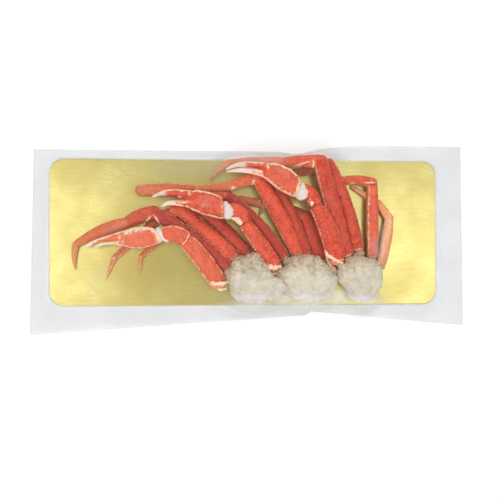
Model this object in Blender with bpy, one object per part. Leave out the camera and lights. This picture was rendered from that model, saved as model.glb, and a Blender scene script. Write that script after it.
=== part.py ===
"""Snow crab clusters, sealed under vacuum in a clear bag on a stiff gold card.

Three clusters lie shingled on the card. Each is a shoulder of body meat with its claw arm
and its walking legs. The clear film is sucked down on them, so the bag is one solid whose
top is the film's own surface. That surface is worked out here in two steps: the height of
whatever lies highest at each point, then a stretched film that rests on those heights.

Metres in Blender, millimetres in the tables below. +X runs along the bag, +Y across it
towards the knees of the legs, +Z up. The origin is the centre of the bag's base.
"""

import math
from typing import NamedTuple

import bmesh
import bpy
import numpy as np

MM = 0.001

# The bag and the card in it.
BAG_LENGTH = 456.0
BAG_WIDTH = 197.0  # across its widest corners
CARD_LENGTH = 406.4
CARD_WIDTH = 152.4
CARD_CORNER_RADIUS = 15.0
CARD_CENTRE = (-5.0, 6.5)  # the card lies off the bag's centre
CARD_TOP = 2.0
RIM_THICKNESS = 1.0  # both films of the flat border, pressed together

# How the border is drawn in where the film climbs over the clusters.
TOP_EDGE_RISE = 6.5  # the edge is this much further out at the right than at the left
TOP_EDGE_RISE_AT = 75.0
TOP_EDGE_RISE_SPREAD = 26.0
TOP_NOTCH_DEPTH = 3.0
TOP_NOTCH_AT = 48.0
TOP_NOTCH_SPREAD = 14.0
BOTTOM_EDGE_AT_NOTCH = 76.5
BOTTOM_NOTCH_AT = 61.0
BOTTOM_STEP = 4.0  # the edge jumps by this much at the notch
BOTTOM_STEP_SPREAD = 4.0
BOTTOM_SLOPE_RIGHT = 0.095
LEFT_SLANT = 4.0  # how far each end is drawn in at the edge beyond the knees
RIGHT_SLANT = 2.0
BORDER_LIFT = 3.5  # how far the corners curl off the table
BORDER_LIFT_REACH = 26.0

# The film as a stretched sheet: the radius that suction bends its free parts to.
FILM_RADIUS = 7.0
FILM_STEPS = 260
GRID_STEP = 2.0
KEPT_FACES = 0.17  # share of the fine grid's triangles that the film's surface keeps

# Depth of a shell tube as a share of its width.
LEG_DEPTH = 0.76
ARM_DEPTH = 0.8
BOW_PIECES = 4  # straight runs in a bowed segment


class Segment(NamedTuple):
    """One shell tube of a limb, seen from above."""

    length: float
    heading: float  # degrees, counter-clockwise from +X
    height: float  # of its far end's centre, above the table
    width: float  # at its far end
    bow: float = 0.0  # how far its middle stands to the left of the straight line
    belly: float = 0.0  # how much wider its middle is than the mean of its ends


class Limb(NamedTuple):
    """A chain of segments. start is x, y and height, with x and y from the card's centre."""

    start: tuple
    width: float
    depth: float
    segments: tuple


class Shoulder(NamedTuple):
    """A lump of body meat that the limbs of one cluster grow from."""

    centre: tuple  # from the card's centre
    height: float
    reach: tuple  # from the centre to the outline, every 15 degrees counter-clockwise from +X


SHOULDERS = {
    "left": Shoulder((8, -50), 34, (
        30, 20.5, 19.5, 20, 22, 25, 27, 28, 29.5, 31.5, 31, 28.5,
        27.5, 27, 28, 27.5, 25, 23, 22.5, 23.5, 24.5, 27.5, 33, 36,
    )),
    "middle": Shoulder((62, -49), 35, (
        32, 28.5, 26, 27, 26, 25.5, 26, 26.5, 28, 27.5, 28, 32,
        29, 26, 25, 24.5, 23.5, 22.5, 22.5, 23.5, 25.5, 27, 29.5, 31.5,
    )),
    "right": Shoulder((119, -49), 35, (
        21.5, 23, 24.5, 26.5, 25, 24, 24, 24.5, 25.5, 25, 26.5, 28,
        25, 21, 18.5, 19.5, 22, 24.5, 24, 24.5, 24.5, 23.5, 22.5, 22,
    )),
}
SHOULDER_SQUARENESS = 5.0
SHOULDER_GROOVE_DEPTH = 0.07  # as a share of the height, between neighbouring lobes
SHOULDER_LOBES = 5

LIMBS = {
    # Left cluster.
    "left_leg_3": Limb((3, -24, 10), 13.5, LEG_DEPTH, (
        Segment(72, 136, 8, 13.5, -1.5, 0.5),
        Segment(24, -144, 6, 10.5),
        Segment(55, -138, 5.5, 5),
        Segment(18, -96, 4, 1.5),
    )),
    "left_leg_2": Limb((-11, -28, 13), 13.5, LEG_DEPTH, (
        Segment(79, 139, 12, 13.5, -1.5),
        Segment(25, -154, 7, 10.5),
        Segment(59, -138, 5.5, 5.5),
        Segment(24, -111, 4, 1.5),
    )),
    "left_leg_1": Limb((-18, -39, 13), 12, LEG_DEPTH, (
        Segment(98, 143, 15.5, 14.5, -3.5, 0.5),
        Segment(29, -159, 13, 12, -2.5, -0.5),
        Segment(57, -157, 8, 7, -2.5, 3),
        Segment(26, -91, 4, 1.5, -1.5, 1),
    )),
    "left_arm": Limb((-27, -59, 16), 12, ARM_DEPTH, (
        Segment(9, 114, 16, 17),
        Segment(53, 128, 22, 15.5, -1.5, 1.5),
        Segment(25, 168, 24, 14, -4.5, 1.5),
        Segment(42, -177, 22, 13, 1.5, 9.5),
    )),
    "left_claw_thumb": Limb((-126, -4, 23), 9.5, ARM_DEPTH, (
        Segment(14, -174, 21.5, 6.5),
        Segment(14, -164, 20, 5),
        Segment(14, -155, 18, 1),
    )),
    "left_claw_finger": Limb((-120, -9, 20), 13.5, ARM_DEPTH, (
        Segment(13, -175, 19, 6),
        Segment(11, -176, 17.5, 4),
        Segment(13, -160, 16, 1),
    )),
    # Middle cluster.
    "middle_leg_4": Limb((78, -33, 9), 17, LEG_DEPTH, (
        Segment(52, 108.5, 7, 14.5, -2, 2),
        Segment(25, 155, 6.5, 10.5),
        Segment(46, 171, 6, 9),
    )),
    "middle_leg_3": Limb((62, -27, 12), 12.5, LEG_DEPTH, (
        Segment(86, 113, 13.5, 13.5, -2.5, 0.5),
        Segment(23, -111, 11, 7),
        Segment(15, -117, 5, 1.5),
    )),
    "middle_leg_2": Limb((54, -25, 15), 13, LEG_DEPTH, (
        Segment(91, 118, 20.5, 13.5, -1.5, 3.5),
        Segment(29, -164, 20.5, 9, -1.5),
        Segment(36, -176, 19, 6),
    )),
    "middle_leg_1": Limb((41, -29, 13), 12.5, LEG_DEPTH, (
        Segment(91, 133, 15, 12.5, -4, 1),
        Segment(36, 171, 12.5, 11),
        Segment(54, 180, 8, 11, -1, 2),
    )),
    "middle_arm": Limb((30, -41, 18), 13.5, ARM_DEPTH, (
        Segment(7, 115, 18, 16),
        Segment(53, 125, 23, 13, -1, 1),
        Segment(22, 144, 26, 13.5, -5.5, 1.5),
        Segment(38, 164, 27, 18, -0.5, 9),
    )),
    "middle_claw_thumb": Limb((-57, 38, 28.5), 9.5, ARM_DEPTH, (
        Segment(13, 179, 28, 8),
        Segment(13, 175, 27, 5.5),
        Segment(15, -164, 25.5, 1),
    )),
    "middle_claw_finger": Limb((-48, 27, 25.5), 16.5, ARM_DEPTH, (
        Segment(14, 176, 25, 8),
        Segment(13, 173, 24.5, 5),
        Segment(15, -165, 23.5, 1),
    )),
    # Right cluster.
    "right_leg_4": Limb((140, -41, 9), 9, LEG_DEPTH, (
        Segment(57, 79, 9, 9.5, -1.5, 2),
        Segment(19, 124, 8, 7.5),
        Segment(33, 148, 5, 4),
    )),
    "right_leg_3": Limb((132, -29, 12), 11.5, LEG_DEPTH, (
        Segment(81, 90, 12, 11, 0, 2),
        Segment(29, 175, 8.5, 9, -2),
        Segment(28, 174, 5.5, 6),
    )),
    "right_leg_2": Limb((117, -21, 15), 12.5, LEG_DEPTH, (
        Segment(97, 109, 15.5, 13.5, -3.5, 1),
        Segment(27, -166, 10, 9.5),
        Segment(43, -172, 6.5, 6),
    )),
    "right_leg_1": Limb((106, -27, 17), 13, LEG_DEPTH, (
        Segment(104, 107, 22, 16, 1, 3.5),
        Segment(37, -179, 20, 11, -1.5, -1.5),
        Segment(58, 180, 15, 6.5, -1, 1),
        Segment(27, -134, 7, 1, -2, 1),
    )),
    "right_arm": Limb((93, -35, 20), 14.5, ARM_DEPTH, (
        Segment(9, 98, 21, 17.5),
        Segment(58, 113, 26.5, 12.5, -2.5, 3.5),
        Segment(21, 134, 28.5, 14.5, -4, 1),
        Segment(39, 151, 30, 16.5, -2, 8.5),
    )),
    "right_claw_thumb": Limb((22, 65, 31.5), 10, ARM_DEPTH, (
        Segment(15, 170, 31, 7.5),
        Segment(16, -179, 30, 5.5),
        Segment(17, -163, 28.5, 1),
    )),
    "right_claw_finger": Limb((28, 57, 28.5), 16, ARM_DEPTH, (
        Segment(14, 166, 28.5, 7.5),
        Segment(16, 171, 28, 5.5),
        Segment(21, -176, 27, 1),
    )),
}

FILM_COLOUR = (0.86, 0.88, 0.90, 0.35)
FILM_ROUGHNESS = 0.15


def clear_scene():
    for obj in list(bpy.data.objects):
        bpy.data.objects.remove(obj, do_unlink=True)


def smooth_step(low, high, value):
    """0 below low, 1 above high, and a smooth rise between."""
    share = np.clip((value - low) / (high - low), 0.0, 1.0)
    return share * share * (3.0 - 2.0 * share)


# The bag's outline.


def top_edge(x):
    """y of the bag's edge beyond the knees, at x."""
    rise = 0.5 * (1.0 + np.tanh((x - TOP_EDGE_RISE_AT) / TOP_EDGE_RISE_SPREAD))
    notch = TOP_NOTCH_DEPTH * np.exp(-(((x - TOP_NOTCH_AT) / TOP_NOTCH_SPREAD) ** 2))
    return BAG_WIDTH / 2 + TOP_EDGE_RISE * (rise - 1.0) - notch


def bottom_edge(x):
    """y of the bag's edge beyond the shoulders, at x: it runs in to a notch from both ends."""
    corner = BAG_WIDTH / 2 - BOTTOM_EDGE_AT_NOTCH - BOTTOM_STEP
    left = BOTTOM_STEP + corner * (BOTTOM_NOTCH_AT - x) / (BOTTOM_NOTCH_AT + BAG_LENGTH / 2)
    right = BOTTOM_SLOPE_RIGHT * (x - BOTTOM_NOTCH_AT)
    side = smooth_step(-BOTTOM_STEP_SPREAD, BOTTOM_STEP_SPREAD, x - BOTTOM_NOTCH_AT)
    return -(BOTTOM_EDGE_AT_NOTCH + left * (1.0 - side) + right * side)


def bag_grid():
    """x and y of a grid that fills the bag's outline, as two arrays of columns by rows."""
    share = np.linspace(0.0, 1.0, round(BAG_LENGTH / GRID_STEP) + 1)[:, None]
    across = np.linspace(0.0, 1.0, round(BAG_WIDTH / GRID_STEP) + 1)[None, :]
    along = (share - 0.5) * BAG_LENGTH
    x = along + across * (LEFT_SLANT * (1.0 - share) - RIGHT_SLANT * share)
    low, high = bottom_edge(along), top_edge(along)
    y = low + (high - low) * across
    return x, y


# What lies in the bag, as heights above the table.


def beyond_card(x, y):
    """Distance outside the card's rounded rectangle, negative inside it."""
    dx = np.abs(x - CARD_CENTRE[0]) - (CARD_LENGTH / 2 - CARD_CORNER_RADIUS)
    dy = np.abs(y - CARD_CENTRE[1]) - (CARD_WIDTH / 2 - CARD_CORNER_RADIUS)
    outside = np.hypot(np.maximum(dx, 0.0), np.maximum(dy, 0.0))
    inside = np.minimum(np.maximum(dx, dy), 0.0)
    return outside + inside - CARD_CORNER_RADIUS


def bulge(height, share):
    """A parabola over the length of a segment: 0 at both ends and height at its middle."""
    return 4.0 * height * share * (1.0 - share)


def segment_points(start, segment):
    """The segment's centreline: a straight line pushed sideways by a parabola of height bow."""
    heading = math.radians(segment.heading)
    ahead = (math.cos(heading), math.sin(heading))
    pieces = BOW_PIECES if segment.bow or segment.belly else 1
    points = []
    for share in np.linspace(0.0, 1.0, pieces + 1):
        side = bulge(segment.bow, share)
        points.append((
            start[0] + ahead[0] * segment.length * share - ahead[1] * side,
            start[1] + ahead[1] * segment.length * share + ahead[0] * side,
            start[2] + (segment.height - start[2]) * share,
        ))
    return points


def rod_top(x, y, start, end, widths, depth):
    """Height of the top of a tapered oval rod over each grid point, 0 where it doesn't reach."""
    run = (end[0] - start[0], end[1] - start[1])
    share = ((x - start[0]) * run[0] + (y - start[1]) * run[1]) / (run[0] ** 2 + run[1] ** 2)
    share = np.clip(share, 0.0, 1.0)
    off = np.hypot(x - start[0] - share * run[0], y - start[1] - share * run[1])
    half = (widths[0] + (widths[1] - widths[0]) * share) / 2
    round_top = np.sqrt(np.clip(1.0 - (off / half) ** 2, 0.0, None))
    centre = start[2] + (end[2] - start[2]) * share
    return np.where(off < half, centre + half * depth * round_top, 0.0)


def limb_top(x, y, limb):
    """Height of a whole limb's top, segment by segment."""
    top = np.zeros_like(x)
    at = (limb.start[0] + CARD_CENTRE[0], limb.start[1] + CARD_CENTRE[1], limb.start[2])
    width = limb.width
    for segment in limb.segments:
        points = segment_points(at, segment)
        share = np.linspace(0.0, 1.0, len(points))
        widths = width + (segment.width - width) * share + bulge(segment.belly, share)
        for i, (start, end) in enumerate(zip(points, points[1:])):
            rod = rod_top(x, y, start, end, (widths[i], widths[i + 1]), limb.depth)
            top = np.maximum(top, rod)
        at, width = points[-1], segment.width
    return top


def reach_at(angle, reach):
    """The outline's distance at each angle, eased from one listed distance to the next."""
    steps = np.asarray(reach, dtype=float)
    place = np.mod(angle / (2.0 * math.pi), 1.0) * len(steps)
    before = np.floor(place).astype(int) % len(steps)
    after = (before + 1) % len(steps)
    share = smooth_step(0.0, 1.0, place - np.floor(place))
    return steps[before] + (steps[after] - steps[before]) * share


def shoulder_top(x, y, shoulder):
    """Height of a shoulder: a flattened dome on its outline, grooved between the lobes."""
    dx = x - CARD_CENTRE[0] - shoulder.centre[0]
    dy = y - CARD_CENTRE[1] - shoulder.centre[1]
    angle = np.arctan2(dy, dx)
    out = np.hypot(dx, dy) / reach_at(angle, shoulder.reach)
    power = SHOULDER_SQUARENESS
    dome = np.clip(1.0 - out**power, 0.0, None) ** (1.0 / power)
    groove = SHOULDER_GROOVE_DEPTH * (0.5 - 0.5 * np.cos(SHOULDER_LOBES * angle))
    return shoulder.height * dome * (1.0 - groove * np.minimum(out, 1.0))


def contents_top(x, y):
    """Height of the highest thing at each point: border, card, shoulders and limbs."""
    card = 1.0 - smooth_step(-0.6 * GRID_STEP, 0.6 * GRID_STEP, beyond_card(x, y))
    top = RIM_THICKNESS + (CARD_TOP - RIM_THICKNESS) * card
    for shoulder in SHOULDERS.values():
        top = np.maximum(top, shoulder_top(x, y, shoulder))
    for limb in LIMBS.values():
        top = np.maximum(top, limb_top(x, y, limb))
    return top


def film_over(heights):
    """A stretched film pressed on heights: each free point sinks below its neighbours' mean.

    Suction bends the free film to FILM_RADIUS, so a point lies step squared over four radii
    under that mean, and never lower than what is beneath it. The bag's edge stays put.
    """
    film = heights.copy()
    sink = GRID_STEP**2 / (4.0 * FILM_RADIUS)
    for _ in range(FILM_STEPS):
        mean = (film[:-2, 1:-1] + film[2:, 1:-1] + film[1:-1, :-2] + film[1:-1, 2:]) / 4
        film[1:-1, 1:-1] = np.maximum(heights[1:-1, 1:-1], mean - sink)
    return film


def border_lift(x, y):
    """How far the bag's border stands off the table: nothing at the card, most at the corners."""
    out = smooth_step(0.0, BORDER_LIFT_REACH, beyond_card(x, y))
    wave = 0.7 + 0.3 * np.cos(2.0 * math.pi * x / BAG_LENGTH * 3.0)
    return BORDER_LIFT * out * wave


def make_film_sheet():
    """The bag's upper face as an open mesh, with few faces where it is flat."""
    x, y = bag_grid()
    top = film_over(contents_top(x, y)) + border_lift(x, y)
    columns, rows = x.shape
    bpy.ops.mesh.primitive_grid_add(x_subdivisions=columns - 1, y_subdivisions=rows - 1)
    sheet = bpy.context.active_object
    # The grid primitive lists its points row by row, with x running fastest.
    points = np.stack([x.T, y.T, top.T], axis=-1).reshape(-1, 3) * MM
    sheet.data.vertices.foreach_set("co", points.astype(np.float32).ravel())
    fewer = sheet.modifiers.new("fewer_faces", "DECIMATE")
    fewer.ratio = KEPT_FACES
    graph = bpy.context.evaluated_depsgraph_get()
    mesh = bpy.data.meshes.new_from_object(sheet.evaluated_get(graph))
    bpy.data.objects.remove(sheet, do_unlink=True)
    return mesh


def make_bag():
    """The whole bag as one closed solid, film on top and table side below."""
    mesh = make_film_sheet()
    shape = bmesh.new()
    shape.from_mesh(mesh)
    below = shape.faces[:]
    bmesh.ops.extrude_face_region(shape, geom=below, use_keep_orig=True)
    for corner in {vert for face in below for vert in face.verts}:
        corner.co.z = float(border_lift(corner.co.x / MM, corner.co.y / MM)) * MM
    under_card = [
        edge
        for edge in {edge for face in below for edge in face.edges}
        if all(vert.co.z == 0.0 for face in edge.link_faces for vert in face.verts)
    ]
    bmesh.ops.dissolve_edges(shape, edges=under_card, use_verts=True)
    bmesh.ops.recalc_face_normals(shape, faces=shape.faces[:])
    shape.to_mesh(mesh)
    shape.free()
    mesh.name = "sealed_bag"
    return bpy.data.objects.new("sealed_bag", mesh)


def film_material():
    material = bpy.data.materials.new("clear_film")
    material.use_nodes = True
    shader = material.node_tree.nodes["Principled BSDF"]
    shader.inputs["Base Color"].default_value = (*FILM_COLOUR[:3], 1.0)
    shader.inputs["Alpha"].default_value = FILM_COLOUR[3]
    shader.inputs["Roughness"].default_value = FILM_ROUGHNESS
    shader.inputs["Metallic"].default_value = 0.0
    return material


def main():
    clear_scene()
    parts = bpy.data.collections.new("snow_crab_pack")
    bpy.context.scene.collection.children.link(parts)
    bag = make_bag()
    bag.data.materials.append(film_material())
    bag.data.shade_smooth()
    parts.objects.link(bag)


main()
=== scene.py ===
"""Snow crab clusters under clear film on a gold card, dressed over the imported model.

Three clusters lie shingled on the card. Every shell, joint and lump of meat is a surface
worked out with numpy, and the film is a stretched sheet that rests on all of them.

Lengths are in millimetres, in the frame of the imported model: +X along the bag, +Y towards
the knees of the legs, +Z up, with the origin at the centre of the bag's base. In the
tables, x and y are taken from the card's centre.
"""

import math
from typing import NamedTuple

import bpy
import numpy as np
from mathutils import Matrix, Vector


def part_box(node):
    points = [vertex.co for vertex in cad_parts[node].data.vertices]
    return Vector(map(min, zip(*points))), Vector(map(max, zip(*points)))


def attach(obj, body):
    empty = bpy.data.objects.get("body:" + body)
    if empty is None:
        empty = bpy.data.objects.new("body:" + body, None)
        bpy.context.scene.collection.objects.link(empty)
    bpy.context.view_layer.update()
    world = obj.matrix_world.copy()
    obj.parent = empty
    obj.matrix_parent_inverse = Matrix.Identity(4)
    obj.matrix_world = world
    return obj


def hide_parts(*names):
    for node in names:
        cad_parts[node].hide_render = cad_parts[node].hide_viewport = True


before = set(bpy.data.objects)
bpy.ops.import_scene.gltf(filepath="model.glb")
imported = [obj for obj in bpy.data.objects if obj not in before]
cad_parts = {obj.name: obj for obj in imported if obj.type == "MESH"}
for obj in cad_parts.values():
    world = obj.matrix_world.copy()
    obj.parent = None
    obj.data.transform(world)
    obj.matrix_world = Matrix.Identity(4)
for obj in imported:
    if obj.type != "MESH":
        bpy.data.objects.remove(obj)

bl_info = {
    "name": "Snow crab pack",
    "version": (1, 0, 0),
    "blender": (4, 5, 0),
    "location": "3D View > Sidebar > Crab pack",
    "description": "Builds crab clusters sealed under clear film on a gold card",
    "category": "Add Mesh",
}

MM = 0.001

# The bag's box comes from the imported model.
BAG_LOW, BAG_HIGH = (np.array(corner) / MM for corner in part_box("sealed_bag"))
BAG_LENGTH = float(BAG_HIGH[0] - BAG_LOW[0])
BAG_WIDTH = float(BAG_HIGH[1] - BAG_LOW[1])

CARD_LENGTH = 406.4
CARD_WIDTH = 152.4
CARD_CORNER_RADIUS = 15.0
CARD_CENTRE = (-5.0, 6.5)
CARD_TOP = 2.0
CARD_BOTTOM = 0.3
CARD_AROUND = 240
# The card's edge from its underside up: height, and how far it is drawn in.
CARD_EDGE = (
    (CARD_BOTTOM, 0.3), (0.45, 0.0), (1.2, 0.0), (1.75, 0.12), (1.95, 0.4),
    (CARD_TOP, 0.8), (CARD_TOP, 1.0),
)
# The rings inside each face of the card, as shares of its outline.
CARD_RINGS = (0.02, 0.3, 0.6, 0.9)

# How the bag's border is drawn in where the film climbs over the clusters.
TOP_EDGE_RISE = 6.5
TOP_EDGE_RISE_AT = 75.0
TOP_EDGE_RISE_SPREAD = 26.0
TOP_NOTCH_DEPTH = 3.0
TOP_NOTCH_AT = 48.0
TOP_NOTCH_SPREAD = 14.0
BOTTOM_EDGE_AT_NOTCH = 76.5
BOTTOM_NOTCH_AT = 61.0
BOTTOM_STEP = 4.0
BOTTOM_STEP_SPREAD = 4.0
BOTTOM_SLOPE_RIGHT = 0.095
BORDER_LIFT = 3.5
BORDER_LIFT_REACH = 26.0
LEFT_SLANT = 4.0  # how far each end is drawn in at the top
RIGHT_SLANT = 2.0

FILM_STEPS = 420  # times that the film is let sink
FRONT_ABOVE_BACK = 0.15  # where the two films meet
FRONT_OVER_TABLE = 0.3  # where only the back film is under it
AIR_DEPTH = 8.0  # gap under the film that counts as all air
RAISED_FILM = (4.0, 14.0)  # heights between which the border's haze gives way beyond the knees
FREE_BORDER = (2.0, 9.0)  # distances from the card between which the crinkles set in
RIGHT_CRINKLES = (200.0, 214.0)  # x between which the right end's finer crinkles set in

FLOOR_HALF = 1.5 / MM
FLOOR_POINTS = 25
FLOOR_DROP = 0.05


class Segment(NamedTuple):
    """One shell tube of a limb, seen from above."""

    length: float
    heading: float  # degrees, counter-clockwise from +X
    height: float  # of its far end's centre, above the table
    width: float  # at its far end
    bow: float = 0.0  # how far its middle stands to the left of the straight line
    belly: float = 0.0  # how much wider its middle is than the mean of its ends


class Limb(NamedTuple):
    """A chain of segments: where it starts, its width there, and a row for each Segment."""

    start: tuple
    width: float
    segments: tuple


class Shoulder(NamedTuple):
    """A lump of body meat that the limbs of one cluster grow from."""

    centre: tuple
    height: float
    brown: float  # how stained it is near its limbs
    reach: tuple  # from the centre to the outline, every 15 degrees counter-clockwise from +X


SHOULDERS = {
    "left": Shoulder((8, -50), 33, 1.3, (
        30, 20.5, 19.5, 20, 22, 25, 27, 28, 29.5, 31.5, 31, 28.5,
        27.5, 27, 28, 27.5, 25, 23, 22.5, 23.5, 24.5, 27.5, 33, 36,
    )),
    "middle": Shoulder((62, -49), 34, 1.0, (
        32, 28.5, 26, 27, 26, 25.5, 26, 26.5, 28, 27.5, 28, 32,
        29, 26, 25, 24.5, 23.5, 22.5, 22.5, 23.5, 25.5, 27, 29.5, 31.5,
    )),
    "right": Shoulder((119, -49), 34, 0.5, (
        21.5, 23, 24.5, 26.5, 25, 24, 24, 24.5, 25.5, 25, 26.5, 28,
        25, 21, 18.5, 19.5, 22, 24.5, 24, 24.5, 24.5, 23.5, 22.5, 22,
    )),
}
SHOULDER_SQUARENESS = 5.2
SHOULDER_GROOVE_DEPTH = 0.05
SHOULDER_LOBES = 5
SHOULDER_NOISE_RADIUS = 25.0  # of the circle that the noise of its outline is read on
SHOULDER_AROUND = 260
SHOULDER_ROWS_OVER = 84
SHOULDER_ROWS_UNDER = 12

LIMBS = {
    "left_leg_3": Limb((3, -24, 10), 13.5, (
        (72, 136, 8, 13.5, -1.5, 0.5), (24, -144, 6, 10.5), (55, -138, 5.5, 5), (18, -96, 4, 1.5),
    )),
    "left_leg_2": Limb((-11, -28, 13), 13.5, (
        (79, 139, 12, 13.5, -1.5), (25, -154, 7, 10.5), (59, -138, 5.5, 5.5), (24, -111, 4, 1.5),
    )),
    "left_leg_1": Limb((-18, -39, 13), 12, (
        (98, 143, 15.5, 14.5, -3.5, 0.5), (29, -159, 13, 12, -1.5, 1.5), (57, -157, 8, 7, -2.5, 3),
        (26, -91, 4, 1.5, -1.5, 1),
    )),
    "left_arm": Limb((-27, -59, 16), 12, (
        (9, 114, 16, 17), (53, 128, 22, 15.5, -1.5, 1.5), (25, 168, 24, 14, -4.5, 1.5),
    )),
    "middle_leg_4": Limb((78, -33, 9), 17, (
        (52, 108.5, 7, 14.5, -2, 2), (25, 155, 6.5, 10.5), (46, 171, 6, 9),
    )),
    "middle_leg_3": Limb((62, -27, 12), 12.5, (
        (86, 113, 13.5, 13.5, -2.5, 0.5), (23, -111, 11, 7), (15, -117, 5, 1.5),
    )),
    "middle_leg_2": Limb((54, -25, 15), 13, (
        (91, 118, 20.5, 13.5, -1.5, 3.5), (29, -164, 20.5, 9, -1.5), (36, -176, 19, 6),
    )),
    "middle_leg_1": Limb((41, -29, 13), 12.5, (
        (91, 133, 15, 12.5, -4, 1), (36, 171, 12.5, 11), (54, 180, 8, 11, -1, 2),
    )),
    "middle_arm": Limb((30, -41, 18), 13.5, (
        (7, 115, 18, 16), (53, 125, 23, 13, -1, 1), (22, 144, 26, 13.5, -5.5, 1.5),
    )),
    "right_leg_4": Limb((140, -41, 9), 9, (
        (57, 79, 9, 9.5, -1.5, 2), (19, 124, 8, 7.5), (33, 148, 5, 4),
    )),
    "right_leg_3": Limb((132, -29, 12), 11.5, (
        (81, 90, 12, 11, 0, 2), (29, 175, 8.5, 9, -2), (28, 174, 5.5, 6),
    )),
    "right_leg_2": Limb((117, -21, 15), 12.5, (
        (97, 109, 15.5, 13.5, -3.5, 1), (27, -166, 10, 9.5), (43, -172, 6.5, 6),
    )),
    "right_leg_1": Limb((106, -27, 17), 13, (
        (104, 107, 22, 16, 1, 3.5), (37, -179, 20, 11, -1.5, -1.5), (58, 180, 15, 6.5, -1, 1),
        (27, -134, 7, 1, -2, 1),
    )),
    "right_arm": Limb((93, -35, 20), 14.5, (
        (9, 98, 21, 17.5), (58, 113, 26.5, 12.5, -2.5, 3.5), (21, 134, 28.5, 14.5, -4, 1),
    )),
}

# The claws: where the two edges of each lie, station by station, from the palm to the tip.
# Each row is the edge on the left, the edge on the right and the height of the middle.
CLAWS = {
    "left_claw_palm": (
        (-85.9, -10.2, -93.4, 2.5, 24), (-91.4, -11.9, -97.5, 3.8, 24), (-98.5, -14.7, -103.5, 4.8, 23.5),
        (-106.6, -16.7, -111.6, 4.9, 23), (-115.7, -16.7, -119.7, 3.3, 22.5),
        (-123.2, -15.2, -125.2, 0.8, 22), (-128.3, -14, -128.8, -4.7, 21),
        (-132.9, -13.1, -132.9, -9.1, 20.5), (-139.5, -12.9, -140, -9.7, 19.5),
        (-146.1, -13.3, -147.1, -10.3, 18.5), (-150.7, -14.7, -152.2, -11.9, 17.5),
        (-155.3, -16.1, -156, -14.8, 16.5),
    ),
    "left_claw_thumb": (
        (-124.6, -8.3, -123.6, 1.3, 23.5), (-129.2, -9.1, -128.7, 0.5, 23),
        (-135.2, -8.9, -134.7, -1.5, 22.5), (-141.8, -9.1, -141.8, -3.8, 22),
        (-148.3, -9.7, -148.8, -5.9, 21), (-154.9, -11.5, -155.9, -8.5, 20),
        (-160, -14.3, -161.5, -11.3, 19), (-165.3, -15.7, -166.1, -14.5, 18),
    ),
    "middle_claw_palm": (
        (-22.6, 12.6, -25.6, 34.3, 28), (-28.7, 13.2, -29.7, 36.5, 28), (-37.3, 15.1, -36.8, 39.1, 28),
        (-45.9, 17.7, -43.9, 41, 27.5), (-53.5, 20.7, -51, 41.9, 27), (-59.1, 23.5, -56.5, 41.6, 26.5),
        (-62.6, 25.1, -60.6, 36.3, 26), (-67.2, 26.2, -65.1, 31.8, 25.5), (-73.2, 27, -72.2, 31.9, 25),
        (-79.8, 27.2, -79.3, 31.6, 24.5), (-84.9, 26.2, -84.4, 30, 24), (-88.4, 24.8, -88.6, 26.2, 23.5),
    ),
    "middle_claw_thumb": (
        (-57.1, 32, -55.1, 41.4, 29), (-61.1, 32, -59.6, 41.6, 29), (-67.2, 32.4, -66.2, 42.2, 28.5),
        (-74.7, 34.6, -74.2, 42.9, 28), (-81.3, 36.3, -81.3, 42.7, 27.5), (-87.3, 36.7, -88.3, 40.9, 26.5),
        (-92.4, 35.7, -93.4, 38.4, 26), (-97.1, 34.5, -97.6, 35.7, 25.5),
    ),
    "right_claw_palm": (
        (50.3, 34.6, 54.4, 51.3, 30), (44.1, 36.4, 50.3, 57.4, 29.6), (36.9, 39.7, 43.7, 63.2, 29.3),
        (29.8, 43.9, 36.5, 67, 29.2), (23.2, 48.8, 28.8, 69.4, 29), (18.6, 53.3, 22.7, 69.9, 29),
        (14.6, 55.8, 18.2, 65, 29), (9.5, 57.8, 12.6, 63.7, 29), (2.9, 59.3, 3.9, 64.7, 28.5),
        (-5.2, 60.4, -5.2, 65.2, 28), (-12.8, 60.6, -12.3, 64.6, 27.5), (-17.9, 60.7, -17.9, 62.9, 27),
        (-22, 60.7, -22.2, 61.6, 27),
    ),
    "right_claw_thumb": (
        (21, 60.7, 24.1, 69.2, 32), (16.9, 61.6, 19.5, 69.8, 32), (10.3, 63.9, 11.8, 70.6, 31.5),
        (2.7, 65.1, 3.7, 71.2, 31), (-4.9, 65.7, -4.4, 71.3, 30.5), (-11.5, 65.7, -11.5, 70, 30),
        (-17, 64.1, -18, 67.3, 29), (-22.6, 62.7, -23.1, 63.8, 28.5),
    ),
}

# The white membrane at each wrist, in the same way.
WRISTS = {
    "left": (
        (-90.4, 4.8, -94, 3.6, 26.2), (-87.4, 0.8, -92.4, -1.5, 26.6), (-83.6, -2.2, -90.6, -5.4, 26.6),
        (-80.6, -6, -87.4, -9, 26.4), (-79.6, -9.8, -82.6, -11.2, 25.4),
    ),
    "middle": (
        (-21.6, 31, -24.6, 31, 29.8), (-18.4, 27.4, -27.4, 26.8, 30.4), (-15.4, 23.4, -28, 22.7, 30.7),
        (-14.4, 19.6, -27.6, 18.7, 30.6), (-16.6, 15.8, -25.8, 15.3, 30.2), (-18.4, 12, -23.4, 12.4, 29),
    ),
    "right": (
        (56, 50.6, 54.2, 50.4, 31), (59, 46, 51.8, 45, 31.8), (61.6, 41.2, 49, 39.8, 32.2),
        (60.8, 36.6, 48.2, 35.4, 32), (57.2, 32, 51.6, 31.6, 30.8),
    ),
}

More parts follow.
